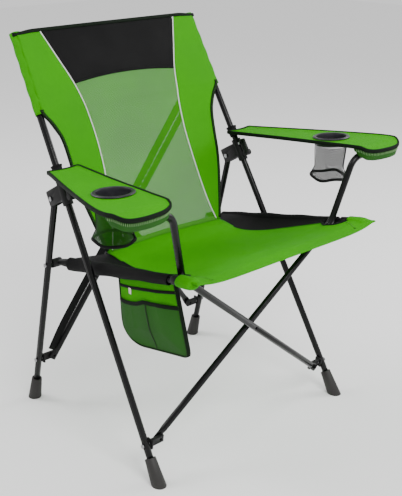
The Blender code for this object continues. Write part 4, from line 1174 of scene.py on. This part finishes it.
def makeCarryStrap():
    low, high = jointPoint("rear_swing"), Vector((0.2533, 0.2373, 0.7810))
    out = jointAxis("rear_swing")
    toward = (high - low).normalized()
    across = out.cross(toward).normalized()
    across = across if across.z > 0 else -across
    start, end = low + toward * 0.012 + out * strap["offset"], high - toward * 0.047 + out * strap["offset"]

    def centreOf(v):
        gap = mix(0.004, 0.0094, eased(v / 0.1)) + 0.005 * v + strap["width"] / 2 + 0.001 * sin(3 * pi * v)
        return start.lerp(end, v) + across * gap

    path = curvePoints([centreOf(t / 12) for t in range(13)], 80)
    band = sweepPiece("carry_webbing", path, (strap["width"] / 2, strap["thick"]), out, cloths["webbing"],
                      "cross_rear_right", 14, square=0.5)
    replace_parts(band, "carry_strap")
    made = [band]
    for index, shift in enumerate((-0.009, 0.009)):
        row = stitchRow(f"carry_stitches_{index}", [p + across * shift for p in path], out,
                        cloths["stitchDark"],
                        "cross_rear_right", {"pitch": 0.0050, "length": 0.0032, "width": 0.0007, "lift": 0.0013})
        made.append(row)
    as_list(made[1:])
    return made


# the studio

camera = {"place": (-1.459, -1.5927, 1.232), "tilt": radians(90 - 20.53), "turn": radians(-43.13), "lens": 69.0}
studio = {"floor": (0.93, 0.93, 0.93), "world": (1.0, 1.0, 1.0), "strength": 0.95}


def makeStudio():
    data = bpy.data.cameras.new("camera")
    data.lens = camera["lens"]
    data.sensor_width = 36.0
    eye = bpy.data.objects.new("camera", data)
    eye.location = camera["place"]
    eye.rotation_euler = (camera["tilt"], 0.0, camera["turn"])
    bpy.context.scene.collection.objects.link(eye)
    bpy.context.scene.camera = eye
    bm = bmesh.new()
    bmesh.ops.create_grid(bm, x_segments=1, y_segments=1, size=8.0)
    mesh = bpy.data.meshes.new("floor")
    bm.to_mesh(mesh)
    bm.free()
    floor = bpy.data.objects.new("floor", mesh)
    bpy.context.scene.collection.objects.link(floor)
    material, tree, shader = newMaterial("floorPaint")
    shader.inputs["Base Color"].default_value = (*studio["floor"], 1.0)
    shader.inputs["Roughness"].default_value = 0.9
    shader.inputs["Specular IOR Level"].default_value = 0.05
    mesh.materials.append(material)
    world = bpy.data.worlds.new("studio")
    world.use_nodes = True
    world.node_tree.nodes["Background"].inputs["Color"].default_value = (*studio["world"], 1.0)
    world.node_tree.nodes["Background"].inputs["Strength"].default_value = studio["strength"]
    bpy.context.scene.world = world
    lamps = (("key", (-0.6, -2.4, 2.8), 1.4, 80.0), ("fill", (2.6, -0.6, 2.0), 1.2, 40.0), ("rim",
                                                                                            (-1.4, 2.2, 2.6), 1.2, 50.0))
    for name, place, size, power in lamps:
        light = bpy.data.lights.new(name, "AREA")
        light.size = size
        light.energy = power
        lamp = bpy.data.objects.new(name, light)
        lamp.location = place
        lamp.rotation_euler = (Vector((0, 0, 0.5)) - Vector(place)).to_track_quat("-Z", "Y").to_euler()
        bpy.context.scene.collection.objects.link(lamp)


finishFrame()
print("frame finished:", len(frame["nodes"]), "nodes")
backPieces = makeBack()
print("back made:", len(backPieces), "pieces")
seatPieces = makeSeat()
print("seat made:", len(seatPieces), "pieces")
for name, side in sides:
    makeArmrest(name, side)
    makePouch(name, side)
    makeArmLoop(name, side)
print("armrests and cup holders made")
makeOrganiser()
makeCarryStrap()
print("organiser and strap made")

for piece in pieces.values():
    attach(piece, piece["rideOn"])
folding = {"travel": 0.368, "postX": onPost(-1, 0.6).x, "railX": onRail(-1, 0.0).x}
for folded, anchorX in ((backPieces, folding["postX"]), (seatPieces, folding["railX"])):
    for piece in folded:
        if not piece.name.startswith(("post_sleeve", "rail_sleeve", "corner_pocket")):
            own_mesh(piece)
print("pieces ride on their bodies:", len(pieces))
makeStudio()
